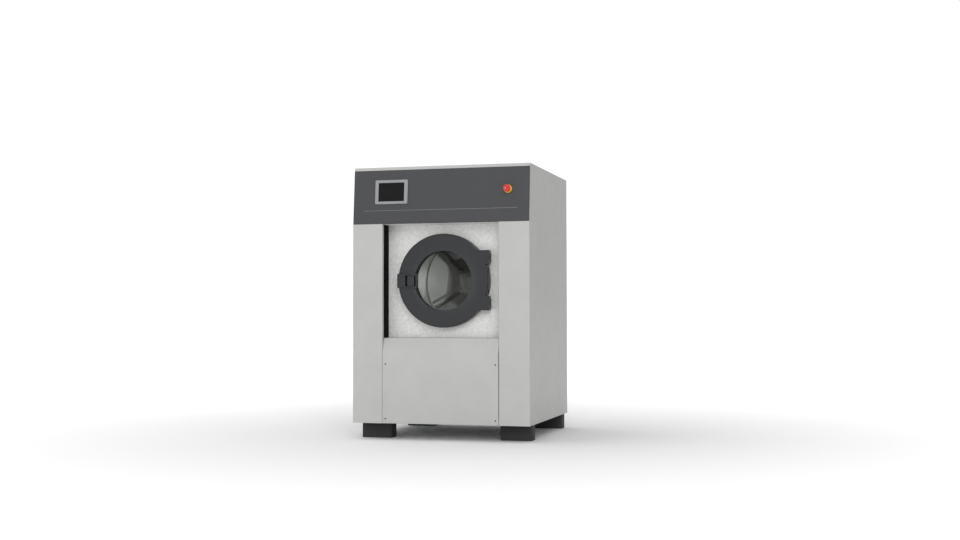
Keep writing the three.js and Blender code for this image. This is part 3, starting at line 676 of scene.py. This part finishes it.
def make_columns():
    for side in ("left", "right"):
        node = "front_column_" + side
        lo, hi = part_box(node)
        outer, inner = (lo.x, hi.x) if side == "left" else (hi.x, lo.x)
        path = [(outer, lo.y), (inner, lo.y), (inner, hi.y)]
        if side == "right":
            path.reverse()
        column = folded_sheet(node + "_skin", path, FOLD.column, "Z", lo.z, hi.z)
        stand_for(column, node)


def make_lower_panel():
    """The screwed front panel, with the ledge that slopes back above it."""
    lo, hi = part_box("lower_front_panel")
    path = [
        (hi.y, hi.z),
        (lo.y + LEDGE.setback, hi.z),
        (lo.y, LEDGE.foot),
        (lo.y, lo.z),
        (lo.y + HEM.lower, lo.z),
    ]
    panel = folded_sheet("lower_front_panel_skin", path, FOLD.lower, "X", lo.x, hi.x)
    stand_for(panel, "lower_front_panel")
    heights = (LOWER_SCREW.low, LOWER_SCREW.high)
    places = [(side * LOWER_SCREW.x, lo.y, z) for side in (-1, 1) for z in heights]
    screws("lower_panel_screws", places, FRONT, LOWER_SCREW.radius, "frame_paint")


def make_fascia():
    """The leaning control panel, its openings, and a pale strip across it: a painted highlight standing for a
    pressed crease that catches the light.
    """
    lo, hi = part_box("control_fascia")
    path = [(FACE + lean_at(hi.z), hi.z), (FACE, lo.z), (FACE + HEM.fascia, lo.z)]
    skin = settled(folded_sheet("control_fascia_skin", path, FOLD.fascia, "X", lo.x, hi.x))
    inside = low("side_panel_right").x - FASCIA.end_gap
    behind = (1.15 * SHEET, 200 * MM)
    tall = (-100 * MM, 400 * MM)
    ends = [
        block("end", sorted((side * inside, side * 1.1 * hi.x)), behind, tall) for side in (-1, 1)
    ]
    margin = FASCIA.window_gap
    near, far = leaning_box("touchscreen_display")
    across = (near.x - margin, far.x + margin)
    window = block("window", across, (-margin, 2 * margin), (near.z - margin, far.z + margin))
    near, far = leaning_box("estop_collar")
    centre = (near + far) / 2
    hole = bar("hole", FASCIA.stop_hole, -2 * SHEET, 2 * SHEET, 48, (centre.x, centre.z))
    cut(skin, *[moved(cutter, LEANING) for cutter in (*ends, window, hole)])
    stand_for(smooth(skin), "control_fascia")
    # Painted highlight: this pale strip stands for the light caught along a crease pressed across the fascia.
    highlight_strip = block(
        "fascia_highlight_strip",
        (HIGHLIGHT_STRIP.left, HIGHLIGHT_STRIP.right),
        (-HIGHLIGHT_STRIP.proud, -HIGHLIGHT_STRIP.sunk),
        about(HIGHLIGHT_STRIP.height, HIGHLIGHT_STRIP.width / 2),
    )
    add_piece(soften(moved(highlight_strip, LEANING), HIGHLIGHT_STRIP.edge, 2), "bezel_plastic")


KEEPER_SLOT = Sizes(left=27, right=12, half=18)  # in from the keeper's ends, and about the axis
SOFFIT = Sizes(inset=165.5, gap=0.3, back=0.1)
MOUTH_INSET = 14 * MM  # the bulkhead's hole inside the gasket's outer edge


def make_recess_panel():
    """The recessed stainless front and the ceiling over it."""
    lo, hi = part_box("front_bulkhead")
    panel = block("recess_panel", (lo.x, hi.x), (RECESS, hi.y), (lo.z, hi.z))
    through = (RECESS - SHEET, hi.y + SHEET)
    mouth = bar("mouth", high("door_gasket").x - MOUTH_INSET, *through, 160)
    keeper_lo, keeper_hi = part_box("latch_keeper")
    across = (keeper_lo.x + KEEPER_SLOT.left, keeper_hi.x - KEEPER_SLOT.right)
    cut(panel, mouth, block("slot", across, through, about(AXIS.z, KEEPER_SLOT.half)))
    half = high("front_column_right").x - SOFFIT.inset
    top = FASCIA_FOOT - SOFFIT.gap
    soffit = block("soffit", (-half, half), (lo.y, RECESS - SOFFIT.back), (top - SHEET, top))
    panel = joined("recess_front", [soften(piece, EDGE.recess) for piece in (panel, soffit)])
    stand_for(panel, "front_bulkhead")


LOUVRE_ROWS = 6
LOUVRE_PLACES = (-130 * MM, 0, 130 * MM)
LOUVRE = Sizes(half=55, first=1215, pitch=24, gap=12, reach=7, sheet=1, edge=0.25)
GLAND = Sizes(hole=14, nut=18.8, nut_back=7, bore=5, mouth=9)
GLAND_DOME = Sizes(foot=13.2, foot_back=9, crown=12.6, crown_back=13)
REAR_INSET = 14 * MM  # the screws' distance from the rear panel's edge
PIPE = Sizes(radius=75, hole=76, flange=3, corner=8, bead=2.5, bead_setback=12, edge=0.6)
PIPE_SCREWS = 83 * MM  # out from the pipe's middle, each way
REAR_GAP = 0.3 * MM  # between the rear panel and what is fixed on it
COVER = Sizes(left=-150, right=430, low=140, high=1110, corner=12, inset=12, face=1.8)
PRESSED = Sizes(margin=30, corner=20, start=1, face=4)


def louvre(x, z):
    """A pressed hood over one air slot, open at its foot."""
    reach, sheet = LOUVRE.reach, LOUVRE.sheet
    foot = z + 1 * MM
    outer = arc(BACK, z + LOUVRE.gap, reach, 90, 0, 6) + [(BACK + reach, foot)]
    inner = [(y - sheet if y > BACK else y, w - sheet) for y, w in outer]
    inner[-1] = (BACK + reach - sheet, foot)
    hood = swept("hood", outer + inner[::-1], "X", *about(x, LOUVRE.half))
    cheek = outer + [(BACK, foot)]
    edges = [(side * LOUVRE.half, side * (LOUVRE.half - sheet)) for side in (-1, 1)]
    cheeks = [swept("cheek", cheek, "X", *sorted((x + a, x + b))) for a, b in edges]
    return joined("louvre", [soften(piece, LOUVRE.edge, 2) for piece in (hood, *cheeks)])


def spread(low_end, high_end, inset, count):
    """Evenly spaced heights between two ends, the outer ones set in by an inset."""
    step = (high_end - low_end - 2 * inset) / (count - 1)
    return [low_end + inset + i * step for i in range(count)]


def make_rear_panel():
    lo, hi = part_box("rear_panel")
    panel = block("rear_panel_skin", (lo.x, hi.x), (lo.y, hi.y), (lo.z, hi.z))
    through = (lo.y - SHEET, hi.y + SHEET)
    cutters = []
    for node, radius in (("cable_gland", GLAND.hole), ("exhaust_spigot", PIPE.hole)):
        cutters.append(bar("hole", radius, *through, 64, centre_of(node)))
    hoods = []
    for row in range(LOUVRE_ROWS):
        z = LOUVRE.first + row * LOUVRE.pitch
        for x in LOUVRE_PLACES:
            across = about(x, LOUVRE.half - SHEET)
            cutters.append(block("slot", across, through, (z, z + LOUVRE.gap)))
            hoods.append(louvre(x, z))
    stand_for(smooth(cut(panel, *cutters)), "rear_panel")
    add_piece(joined("intake_louvres", hoods), "casing_paint")
    heights = spread(lo.z, hi.z, REAR_INSET, 6)
    places = [(side * (hi.x - REAR_INSET), hi.y, z) for side in (-1, 1) for z in heights]
    screws("rear_panel_screws", places, REAR, REAR_SCREW, "plain_steel")


def make_access_cover():
    """The screwed cover over the belt and the pulleys, its middle pressed outwards."""
    x, z = (COVER.left, COVER.right), (COVER.low, COVER.high)
    face = BACK + COVER.face
    outline = rounded(x, z, COVER.corner)
    cover = swept("rear_access_cover", outline, "Y", BACK + REAR_GAP, face)
    pressed = [(start + PRESSED.margin, stop - PRESSED.margin) for start, stop in (x, z)]
    outline = rounded(*pressed, PRESSED.corner)
    field = swept("field", outline, "Y", BACK + PRESSED.start, BACK + PRESSED.face)
    add_piece(soften(added(cover, field), EDGE.panel), "casing_paint")
    edges = (x[0] + COVER.inset, x[1] - COVER.inset)
    places = [(edge, face, height) for edge in edges for height in spread(*z, COVER.inset, 5)]
    screws("access_cover_screws", places, REAR, REAR_SCREW, "plain_steel")


def make_exhaust():
    """The outlet pipe, with a bead near its end, on a square flange."""
    lo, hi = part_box("exhaust_spigot")
    centre = centre_of("exhaust_spigot")
    plate = rounded((lo.x, hi.x), (lo.z, hi.z), PIPE.corner)
    flange = swept("exhaust_flange", plate, "Y", lo.y, lo.y + PIPE.flange)
    outer = PIPE.radius
    inner = outer - SHEET
    wall = [
        (inner, lo.y),
        (outer, lo.y),
        *arc(outer, hi.y - PIPE.bead_setback, PIPE.bead, -90, 90, 6),
        (outer, hi.y - PIPE.edge),
        (outer - PIPE.edge, hi.y),
        (inner, hi.y),
    ]
    cut(flange, bar("bore", inner, lo.y - 1 * MM, lo.y + 5 * MM, 96, centre))
    pipe = smooth(turned("pipe", wall, 96, centre))
    stand_for(joined("exhaust_duct", [soften(flange, EDGE.flange), pipe]), "exhaust_spigot")
    places = [
        (x, lo.y + PIPE.flange, z)
        for x in about(centre[0], PIPE_SCREWS)
        for z in about(centre[1], PIPE_SCREWS)
    ]
    screws("exhaust_screws", places, REAR, REAR_SCREW, "plain_steel")


def make_cable_gland():
    lo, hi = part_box("cable_gland")
    centre = centre_of("cable_gland")
    corners = arc(*centre, GLAND.nut, 0, 300, 5)
    nut = swept("nut", corners, "Y", BACK + REAR_GAP, BACK + GLAND.nut_back)
    profile = [
        (GLAND.bore, lo.y),
        (GLAND_DOME.foot, lo.y),
        (GLAND_DOME.foot, BACK + GLAND_DOME.foot_back),
        (GLAND_DOME.crown, BACK + GLAND_DOME.crown_back),
        (GLAND.mouth, hi.y),
        (GLAND.bore, hi.y),
    ]
    dome = smooth(turned("dome", profile, 48, centre))
    stand_for(joined("mains_gland", [soften(nut, EDGE.nut), dome]), "cable_gland")


# ---- controls ----

SCREEN = Sizes(corner=6, gap=0.3, opening_corner=1, edge=1.2)
COLLAR = Sizes(bore=8.5, chamfer=0.6, round=1.6, neck=11.1, seat=0.3)
BUTTON = Sizes(crown=1.4, rim=5, foot=1.5, side=0.8, under=2.4)
THUMB_DISH = [(0, 2.6), (5, 2.2), (9, 0.8), (12, 0.1)]  # (radius, depth) in mm


def make_touchscreen():
    lo, hi = leaning_box("touchscreen_bezel")
    near, far = leaning_box("touchscreen_display")
    outline = rounded((lo.x, hi.x), (lo.z, hi.z), SCREEN.corner)
    bezel = swept("touchscreen_frame", outline, "Y", lo.y, hi.y)
    across = (near.x - SCREEN.gap, far.x + SCREEN.gap)
    up = (near.z - SCREEN.gap, far.z + SCREEN.gap)
    outline = rounded(across, up, SCREEN.opening_corner, 3)
    cut(bezel, swept("opening", outline, "Y", lo.y - 1 * MM, hi.y + 1 * MM))
    stand_for(soften(moved(bezel, LEANING), SCREEN.edge), "touchscreen_bezel")


def make_emergency_stop():
    """The collar on the fascia, and the mushroom head with a dish for the thumb."""
    near, far = leaning_box("estop_collar")
    centre = ((near.x + far.x) / 2, (near.z + far.z) / 2)
    outer = (far.x - near.x) / 2
    front = near.y
    bore, chamfer = COLLAR.bore, COLLAR.chamfer
    profile = [
        (bore, front + chamfer),
        (bore + chamfer, front),
        *arc(outer - COLLAR.round, front + COLLAR.round, COLLAR.round, -90, 0, 5),
        (outer, -COLLAR.seat),
        (COLLAR.neck, -COLLAR.seat),
        (COLLAR.neck, far.y),
        (bore, far.y),
    ]
    ring = turned("estop_ring", profile, 72, centre)
    stand_for(smooth(moved(ring, LEANING)), "estop_collar")

    near, far = leaning_box("estop_button")
    radius = (far.x - near.x) / 2
    crown = near.y + BUTTON.crown
    profile = [
        *[(out * MM, crown + depth * MM) for out, depth in THUMB_DISH],
        *arc(radius - BUTTON.rim, crown + BUTTON.rim, BUTTON.rim, -80, 10, 8),
        (radius - BUTTON.side, far.y - BUTTON.foot),
        (radius - BUTTON.under, far.y),
        (0, far.y),
    ]
    head = turned("estop_head", profile, 72, centre)
    stand_for(smooth(moved(head, LEANING)), "estop_button")


# ---- door ----

HINGE = Vector(JOINTS["door_swing"]["pos_m"])
LEVER_AXIS = Vector(JOINTS["latch_pull"]["pos_m"])
RING = Sizes(inner=156, outer=247, rebate=170.6, glass_front=76)
RING_EDGE = Sizes(inner=4, outer=6, back=1)
LUG = Sizes(left=170, centre=120, half=37, back=97, slot=9, web=8, room=12, edge=1.2)
PIN_BORE = 4.4 * MM
TAIL_WAY = Sizes(left=-227, right=-196, half=13, front=84)  # the lever's way to its nose
PANE_EDGE = 1.2 * MM
CLAMP_SCREWS = 12
CLAMP = Sizes(inner=158, edge=3, screw=4)
SEAL = Sizes(gap=0.3, inner=160.5, throat=14.6, lip=2, inset=8, hollow=0.4, bead=3)
HANDLE = Sizes(chamfer=4, step_x=-171.5, step_y=75.7, edge=1.2)
POCKET = Sizes(left=-205, right=-146, half=29, back=70)
ARM_ROOM = Sizes(left=-226, right=-170, front=62, back=85)
LEVER = Sizes(bore=3.3, hub=6.5, paddle=-193.5, thick=11, web=-186, web_front=58)
SHANK = Sizes(left=-219, right=-211, half=4, high=10, nose=7)


def upright_rod(name, centre, radius, half, segments=24):
    """A rod along Z about the door axis's height."""
    outline = arc(centre.x, centre.y, radius, 0, 360, segments)[:-1]
    return swept(name, outline, "Z", *about(AXIS.z, half))


def tail_way(front, back):
    """The opening that the lever's tail goes through."""
    across = (TAIL_WAY.left, TAIL_WAY.right)
    return block("tail", across, (front, back), about(AXIS.z, TAIL_WAY.half))


def make_door_ring():
    """The door's cast ring with its rebate for the glass and its two hinge lugs."""
    lo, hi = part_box("door_ring")
    front, back = lo.y, hi.y
    glass_front = FACE + RING.glass_front
    inner, outer, rear = RING_EDGE.inner, RING_EDGE.outer, RING_EDGE.back
    profile = [
        (RING.inner, glass_front),
        *arc(RING.inner + inner, front + inner, inner, 180, 270, 6),
        *arc(RING.outer - outer, front + outer, outer, -90, 0, 8),
        (RING.outer, back - rear),
        (RING.outer - rear, back),
        (RING.rebate, back),
        (RING.rebate, glass_front),
    ]
    ring = turned("door_frame", profile, 192)
    lugs = []
    slots = []
    for side in (-1, 1):
        z = AXIS.z + side * LUG.centre
        lug = block("lug", (LUG.left, hi.x), (front, FACE + LUG.back), about(z, LUG.half))
        lugs.append(settled(soften(lug, LUG.edge, 3)))
        across = (HINGE.x - LUG.room, hi.x + 2 * MM)
        slots.append(block("slot", across, (front + LUG.web, back + 2 * MM), about(z, LUG.slot)))
    added(ring, *lugs)
    near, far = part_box("door_handle_housing")
    gap = 0.3 * MM
    recess = block(
        "recess",
        (near.x - gap, far.x + gap),
        (front - 10 * MM, far.y + gap),
        (near.z - gap, far.z + gap),
    )
    tail = tail_way(far.y - MM, back + MM)
    pins = upright_rod("pin_bore", HINGE, PIN_BORE, LUG.centre + LUG.half + 1 * MM)
    cut(ring, recess, tail, *slots, pins)
    stand_for(smooth(ring), "door_ring")


def make_door_glass():
    """The pane, and the ring that clamps it from behind with its screws."""
    lo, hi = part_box("door_glass")
    profile = [
        (0, lo.y),
        (hi.x - PANE_EDGE, lo.y),
        (hi.x, lo.y + PANE_EDGE),
        (hi.x, hi.y - PANE_EDGE),
        (hi.x - PANE_EDGE, hi.y),
        (0, hi.y),
    ]
    stand_for(smooth(turned("door_pane", profile, 128)), "door_glass")
    lo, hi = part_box("door_glass_retainer")
    profile = [
        (CLAMP.inner, lo.y),
        (hi.x, lo.y),
        (hi.x, hi.y),
        *arc(CLAMP.inner + CLAMP.edge, hi.y - CLAMP.edge, CLAMP.edge, 90, 180, 5),
    ]
    stand_for(smooth(turned("glass_clamp", profile, 128)), "door_glass_retainer")
    step = 360 / CLAMP_SCREWS
    circle = arc(0, AXIS.z, (CLAMP.inner + hi.x) / 2, step / 2, 360 - step / 2, CLAMP_SCREWS - 1)
    places = [(x, hi.y, z) for x, z in circle]
    screws("glass_clamp_screws", places, REAR, CLAMP.screw, "plain_steel", "door")


def make_gasket():
    lo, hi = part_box("door_gasket")
    face = RECESS - SEAL.gap
    inner, outer = SEAL.inner, hi.x
    throat = outer - SEAL.throat
    lip, bead = SEAL.lip, SEAL.bead
    profile = [
        *arc(inner + lip, lo.y + lip, lip, 180, 270, 4),
        (inner + SEAL.inset, lo.y + SEAL.hollow),
        *arc(outer - SEAL.inset, lo.y + bead, bead, 250, 290, 4),
        *arc(outer - lip, lo.y + bead, lip, -90, 0, 4),
        (outer, face),
        (throat, face),
        (throat, hi.y),
        (inner, hi.y),
    ]
    stand_for(smooth(turned("door_seal", profile, 128)), "door_gasket")


def make_handle():
    """The handle's housing, hollow behind its pocket where the lever's arm swings."""
    lo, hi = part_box("door_handle_housing")
    step_y = FACE + HANDLE.step_y
    outline = [
        (lo.x + HANDLE.chamfer, lo.y),
        (hi.x - HANDLE.chamfer, lo.y),
        (hi.x, lo.y + HANDLE.chamfer),
        (hi.x, step_y),
        (HANDLE.step_x, step_y),
        (HANDLE.step_x, hi.y),
        (lo.x, hi.y),
        (lo.x, lo.y + HANDLE.chamfer),
    ]
    housing = swept("door_handle_block", outline, "Z", lo.z, hi.z)
    settled(soften(housing, HANDLE.edge))
    up = about(AXIS.z, POCKET.half)
    well = block("well", (POCKET.left, POCKET.right), (lo.y - MM, FACE + POCKET.back), up)
    deep_y = (FACE + ARM_ROOM.front, FACE + ARM_ROOM.back)
    deep = block("deep", (ARM_ROOM.left, ARM_ROOM.right), deep_y, up)
    tail = tail_way(FACE + TAIL_WAY.front, hi.y + MM)
    bore = upright_rod("bore", LEVER_AXIS, LEVER.bore, 35 * MM)
    cut(housing, well, deep, tail, bore)
    stand_for(smooth(housing), "door_handle_housing")


def make_lever():
    """The pull that sits in the handle's pocket and carries the latch nose."""
    lo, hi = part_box("latch_lever")
    axis = LEVER_AXIS
    half = hi.z - AXIS.z
    up = about(AXIS.z, half)
    narrow = about(AXIS.z, SHANK.high)
    arm_y = about(axis.y, SHANK.half)
    paddle = block("latch_pull_lever", (LEVER.paddle, hi.x), (lo.y, lo.y + LEVER.thick), up)
    settled(soften(paddle, 1.5 * MM, 4))
    parts = [
        upright_rod("hub", axis, LEVER.hub, half),
        block("web", (axis.x, LEVER.web), (FACE + LEVER.web_front, axis.y), up),
        block("arm", (SHANK.left, axis.x), arm_y, narrow),
        block("tail", (SHANK.left, SHANK.right), (arm_y[0], hi.y), narrow),
        block("nose", (lo.x, SHANK.right), (hi.y - SHANK.nose, hi.y), narrow),
    ]
    added(paddle, *parts)
    cut(paddle, upright_rod("bore", axis, LEVER.bore, 40 * MM))
    stand_for(soften(paddle, 0.5 * MM, 2, 50), "latch_lever")


# ---- drum ----

HOLES_AROUND = 138
WALL = Sizes(hole=3.3, pitch=12, margin=16, fold=12, mouth=190, sheet=0.8)
MOUTH_EDGE = [(0, 7), (1, 3), (4, 0)]  # out from the mouth and back from the front, in mm
RIBS = 5
FIRST_RIB = 137  # degrees
SECTOR = 2 * math.pi / RIBS
RIB = Sizes(half=25, crest=12, height=16, start=60, run_in=45, end=262, run_out=10)
RIB_STEPS = 6  # rows of points over a rib's crest, on each side
PLAIN_STEPS = 14  # and between two ribs
RADIUS_STEPS = 64
# The pressed back stands forward of its fold, in mm, by these heights at these radii: a round
# boss, and sectors that rise towards a rim turned back along the drum's wall. Inside the fold
# each sector is a flat face that climbs to the boss.
BOSS = [(0, 48), (36, 48), (60, 41)]
OUTER = [(152, 0), (266, 14), (270, 12), (271, 2), (274, 0)]
BACK_SHEET = 1.5 * MM


def drum_point(radius, angle, y):
    return (radius * math.cos(angle), y, AXIS.z + radius * math.sin(angle))


def perforated_wall(radius, start, stop):
    """Rows of six-sided holes: each cell is six faces between its border and its hole."""
    turn = math.pi / HOLES_AROUND  # half a cell
    rows = round((stop - start) / WALL.pitch)
    pitch = (stop - start) / rows
    points, faces = [], []
    border = [(1, 0), (1, 1), (-1, 1), (-1, 0), (-1, -1), (1, -1)]
    for row in range(rows):
        y = start + (row + 0.5) * pitch
        for column in range(HOLES_AROUND):
            angle = (2 * column + 1) * turn
            first = len(points)
            for u, v in border:
                points.append(drum_point(radius, angle + u * turn, y + v * pitch / 2))
            for u, v in arc(0, 0, WALL.hole, 0, 300, 5):
                points.append(drum_point(radius, angle + u / radius, y + v))
            faces += bands([range(first, first + 6), range(first + 6, first + 12)])
    return points, faces


def plain_band(profile):
    """The drum wall's unpierced margins, with a point at each cell round the drum."""
    steps = HOLES_AROUND
    points = [
        drum_point(radius, 2 * math.pi * step / steps, y)
        for radius, y in profile
        for step in range(steps)
    ]
    rows = [range(row * steps, (row + 1) * steps) for row in range(len(profile))]
    return points, bands(rows)


def make_drum_shell():
    lo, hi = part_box("drum_shell")
    radius = hi.x - SHEET
    fold = WALL.fold
    front = lo.y + 0.5 * SHEET
    lip = [(WALL.mouth + out * MM, front + back * MM) for out, back in MOUTH_EDGE]
    corner = arc(radius - fold, front + fold, fold, -90, 0, 5)
    start = front + fold + WALL.margin
    stop = hi.y - WALL.margin
    parts = [
        plain_band([*lip, *corner, (radius, start)]),
        perforated_wall(radius, start, stop),
        plain_band([(radius, stop), (radius, hi.y)]),
    ]
    points, faces = [], []
    for part_points, part_faces in parts:
        faces += [tuple(len(points) + i for i in face) for face in part_faces]
        points += part_points
    shell = thickened(object_from("drum_basket", points, faces), WALL.sheet)
    stand_for(smooth(shell, 40), "drum_shell")


def height_on(profile, radius):
    """The height of a round profile at a radius, or nothing where it doesn't reach."""
    for (near, start), (far, end) in zip(profile, profile[1:]):
        if near * MM <= radius <= far * MM:
            return (start + (end - start) * (radius / MM - near) / (far - near)) * MM
    return 0


def eased(share):
    share = min(1, max(0, share))
    return share * share * (3 - 2 * share)


def back_plate_depth(radius, off, along):
    """How far the back stands forward: off is from a rib's crest, along is up a sector's middle."""
    hub, shoulder = BOSS[-1]
    forward = height_on(BOSS, radius) + height_on(OUTER, radius)
    if radius > hub * MM:
        fold = OUTER[0][0]
        forward += shoulder * MM * max(0, (fold - along / MM) / (fold - hub))
    rise = eased((radius - RIB.start) / RIB.run_in) * eased((RIB.end - radius) / RIB.run_out)
    fall = 0.5 * off * off / RIB.crest if off < RIB.crest else off - 0.5 * RIB.crest
    return forward + RIB.height * rise * max(0, 1 - fall / (RIB.half - 0.5 * RIB.crest))


def sector_turns(radius):
    """The angles of a sector's points at a radius: close on the two ribs, wide between."""
    flank = RIB.half
    offs = [RIB.crest * i / RIB_STEPS for i in range(RIB_STEPS + 1)]
    offs += [0.65 * flank, 0.8 * flank, flank - 0.5 * MM, flank]
    reach = min(1, radius / (2.5 * flank))
    edge = math.asin(min(1, flank * reach / radius))
    turns = [math.asin(off * reach / radius) for off in offs]
    turns += [edge + (SECTOR - 2 * edge) * i / PLAIN_STEPS for i in range(1, PLAIN_STEPS)]
    return turns + [SECTOR - math.asin(off * reach / radius) for off in reversed(offs[1:])]


def make_back_plate():
    face = high("drum_shell").y + 0.3 * MM
    rim = high("drum_back_plate").x
    radii = [rim * i / RADIUS_STEPS for i in range(3, RADIUS_STEPS - 2)]
    radii += [radius * MM for radius, _ in OUTER if radius * MM > RIB.end]
    points = [(0, face - BOSS[0][1] * MM, AXIS.z)]
    rows = []
    for radius in radii:
        row = []
        for rib in range(RIBS):
            start = math.radians(FIRST_RIB) + rib * SECTOR
            for turn in sector_turns(radius):
                off = radius * math.sin(min(turn, SECTOR - turn, math.pi / 2))
                along = radius * math.cos(turn - SECTOR / 2)
                y = face - back_plate_depth(radius, off, along)
                row.append(len(points))
                points.append(drum_point(radius, start + turn, y))
        rows.append(row)
    faces = [(0, here, there) for here, there in zip(rows[0], rows[0][1:] + rows[0][:1])]
    plate = object_from("drum_back_pressing", points, faces + bands(rows))
    thickened(plate, BACK_SHEET)
    stand_for(smooth(plate, 25), "drum_back_plate")


# ---- carried-over CAD nodes ----


ROUNDS = {"galvanised_sheet": 0.4, "cast_iron": 1.5, "frame_paint": 0.8, "motor_paint": 1.5}
PLAIN_ROUND = 0.5


def finish_nodes():
    """Gives every CAD node its finish, and rounds the edges of those that still show."""
    for node, obj in frame["nodes"].items():
        obj.material_slots[0].material = MATERIALS[SLOT_OF[node]]
        if obj.hide_render:
            continue
        weld = obj.modifiers.new("weld", "WELD")
        weld.merge_threshold = 0.01 * MM
        bevel(obj, ROUNDS.get(SLOT_OF[node], PLAIN_ROUND) * MM, 2, 40)


# ---- studio ----

SOFT_LIGHT = {"level": 0.49, "slope": 0.31, "from": (-0.7, -0.2, 0.6)}
KEY_LIGHT = {"strength": 0.12, "width": 60, "from": (-0.62, 0.0, 0.78)}
FRONT_LIGHT = {"strength": 0.4, "width": 36, "from": (0.32, -0.86, 0.4)}
DRUM_LAMP = {"power": 380, "size": 0.03, "azimuth": 28, "rise": -0.02, "distance": 4}
CAMERA = {"place": (1.974, -6.890, 0.655), "turn": (91.988, 0.104, 15.367), "lens": 48.15}
WHITE = (1, 1, 1, 1)
SKY_LEVEL = 1.05  # what the camera sees behind the machine
FLOOR_FADE = {"start": 0.8, "end": 3.5}  # metres from the machine
FLOOR_LIFT = 0.35  # the glow that makes the far floor as white as the background


def make_floor():
    half = 40
    corners = [(-half, -half, 0), (half, -half, 0), (half, half, 0), (-half, half, 0)]
    floor = object_from("studio_floor", corners, [(0, 1, 2, 3)])
    shader = Shader("studio_floor")
    shader.varied((0.93, 0.93, 0.93), 0.004, 3)
    shader.set("Roughness", 0.9)
    shader.set("Specular IOR Level", 0.1)
    distance = shader.add("ShaderNodeVectorMath", operation="LENGTH")
    shader.feed(distance.inputs[0], shader.place)
    reach = (FLOOR_FADE["start"], FLOOR_FADE["end"])
    fade = shader.ranged(distance.outputs["Value"], 0, FLOOR_LIFT, reach)
    shader.set("Emission Color", WHITE)
    shader.set("Emission Strength", fade)
    floor.data.materials.append(shader.material)


def make_world():
    """White behind the machine, and a soft light on it, stronger from above on the left."""
    world = bpy.data.worlds.new("studio")
    bpy.context.scene.world = world
    world.use_nodes = True
    nodes = Nodes(world.node_tree)
    background = nodes.tree.nodes["Background"]
    background.inputs["Color"].default_value = WHITE
    slope = nodes.add("ShaderNodeVectorMath", operation="DOT_PRODUCT")
    nodes.feed(slope.inputs[0], nodes.add("ShaderNodeTexCoord").outputs["Generated"])
    nodes.feed(slope.inputs[1], SOFT_LIGHT["from"])
    around = nodes.add(
        "ShaderNodeMapRange",
        Value=slope.outputs["Value"],
        From_Min=-1,
        To_Min=SOFT_LIGHT["level"] - SOFT_LIGHT["slope"],
        To_Max=SOFT_LIGHT["level"] + SOFT_LIGHT["slope"],
    ).outputs["Result"]
    seen = nodes.add("ShaderNodeLightPath").outputs["Is Camera Ray"]
    level = nodes.add("ShaderNodeMapRange", Value=seen, To_Min=around, To_Max=SKY_LEVEL)
    nodes.feed(background.inputs["Strength"], level.outputs["Result"])


def make_lamp(name, light):
    """A far lamp as wide as an angle, whose light comes from a direction."""
    data = bpy.data.lights.new(name, "SUN")
    data.energy = light["strength"] * math.pi
    data.angle = math.radians(light["width"])
    lamp = linked(name, data)
    lamp.rotation_euler = Vector(light["from"]).to_track_quat("Z", "Y").to_euler()


def make_drum_lamp():
    """A narrow beam from the front right, as wide as the door's opening where it meets it."""
    data = bpy.data.lights.new("drum_lamp", "SPOT")
    data.energy = DRUM_LAMP["power"]
    data.shadow_soft_size = DRUM_LAMP["size"]
    data.spot_blend = 0.1
    azimuth = math.radians(DRUM_LAMP["azimuth"])
    towards = Vector((math.sin(azimuth), -math.cos(azimuth), DRUM_LAMP["rise"]))
    distance = DRUM_LAMP["distance"]
    data.spot_size = 2 * math.atan(RING.inner / distance)
    lamp = linked("drum_lamp", data)
    lamp.location = AXIS + distance * towards
    lamp.rotation_euler = towards.to_track_quat("Z", "Y").to_euler()


def make_camera():
    data = bpy.data.cameras.new("camera")
    data.lens = CAMERA["lens"]
    camera = linked("camera", data)
    camera.location = CAMERA["place"]
    camera.rotation_euler = [math.radians(angle) for angle in CAMERA["turn"]]
    bpy.context.scene.camera = camera


make_feet()
make_side_panels()
make_top_panel()
make_columns()
make_lower_panel()
make_fascia()
make_recess_panel()
make_rear_panel()
make_access_cover()
make_exhaust()
make_cable_gland()
make_touchscreen()
make_emergency_stop()
make_door_ring()
make_door_glass()
make_gasket()
make_handle()
make_lever()
make_drum_shell()
make_back_plate()
finish_nodes()
make_floor()
make_world()
make_lamp("key_light", KEY_LIGHT)
make_lamp("front_light", FRONT_LIGHT)
make_drum_lamp()
make_camera()
bpy.context.scene.view_settings.view_transform = "Standard"
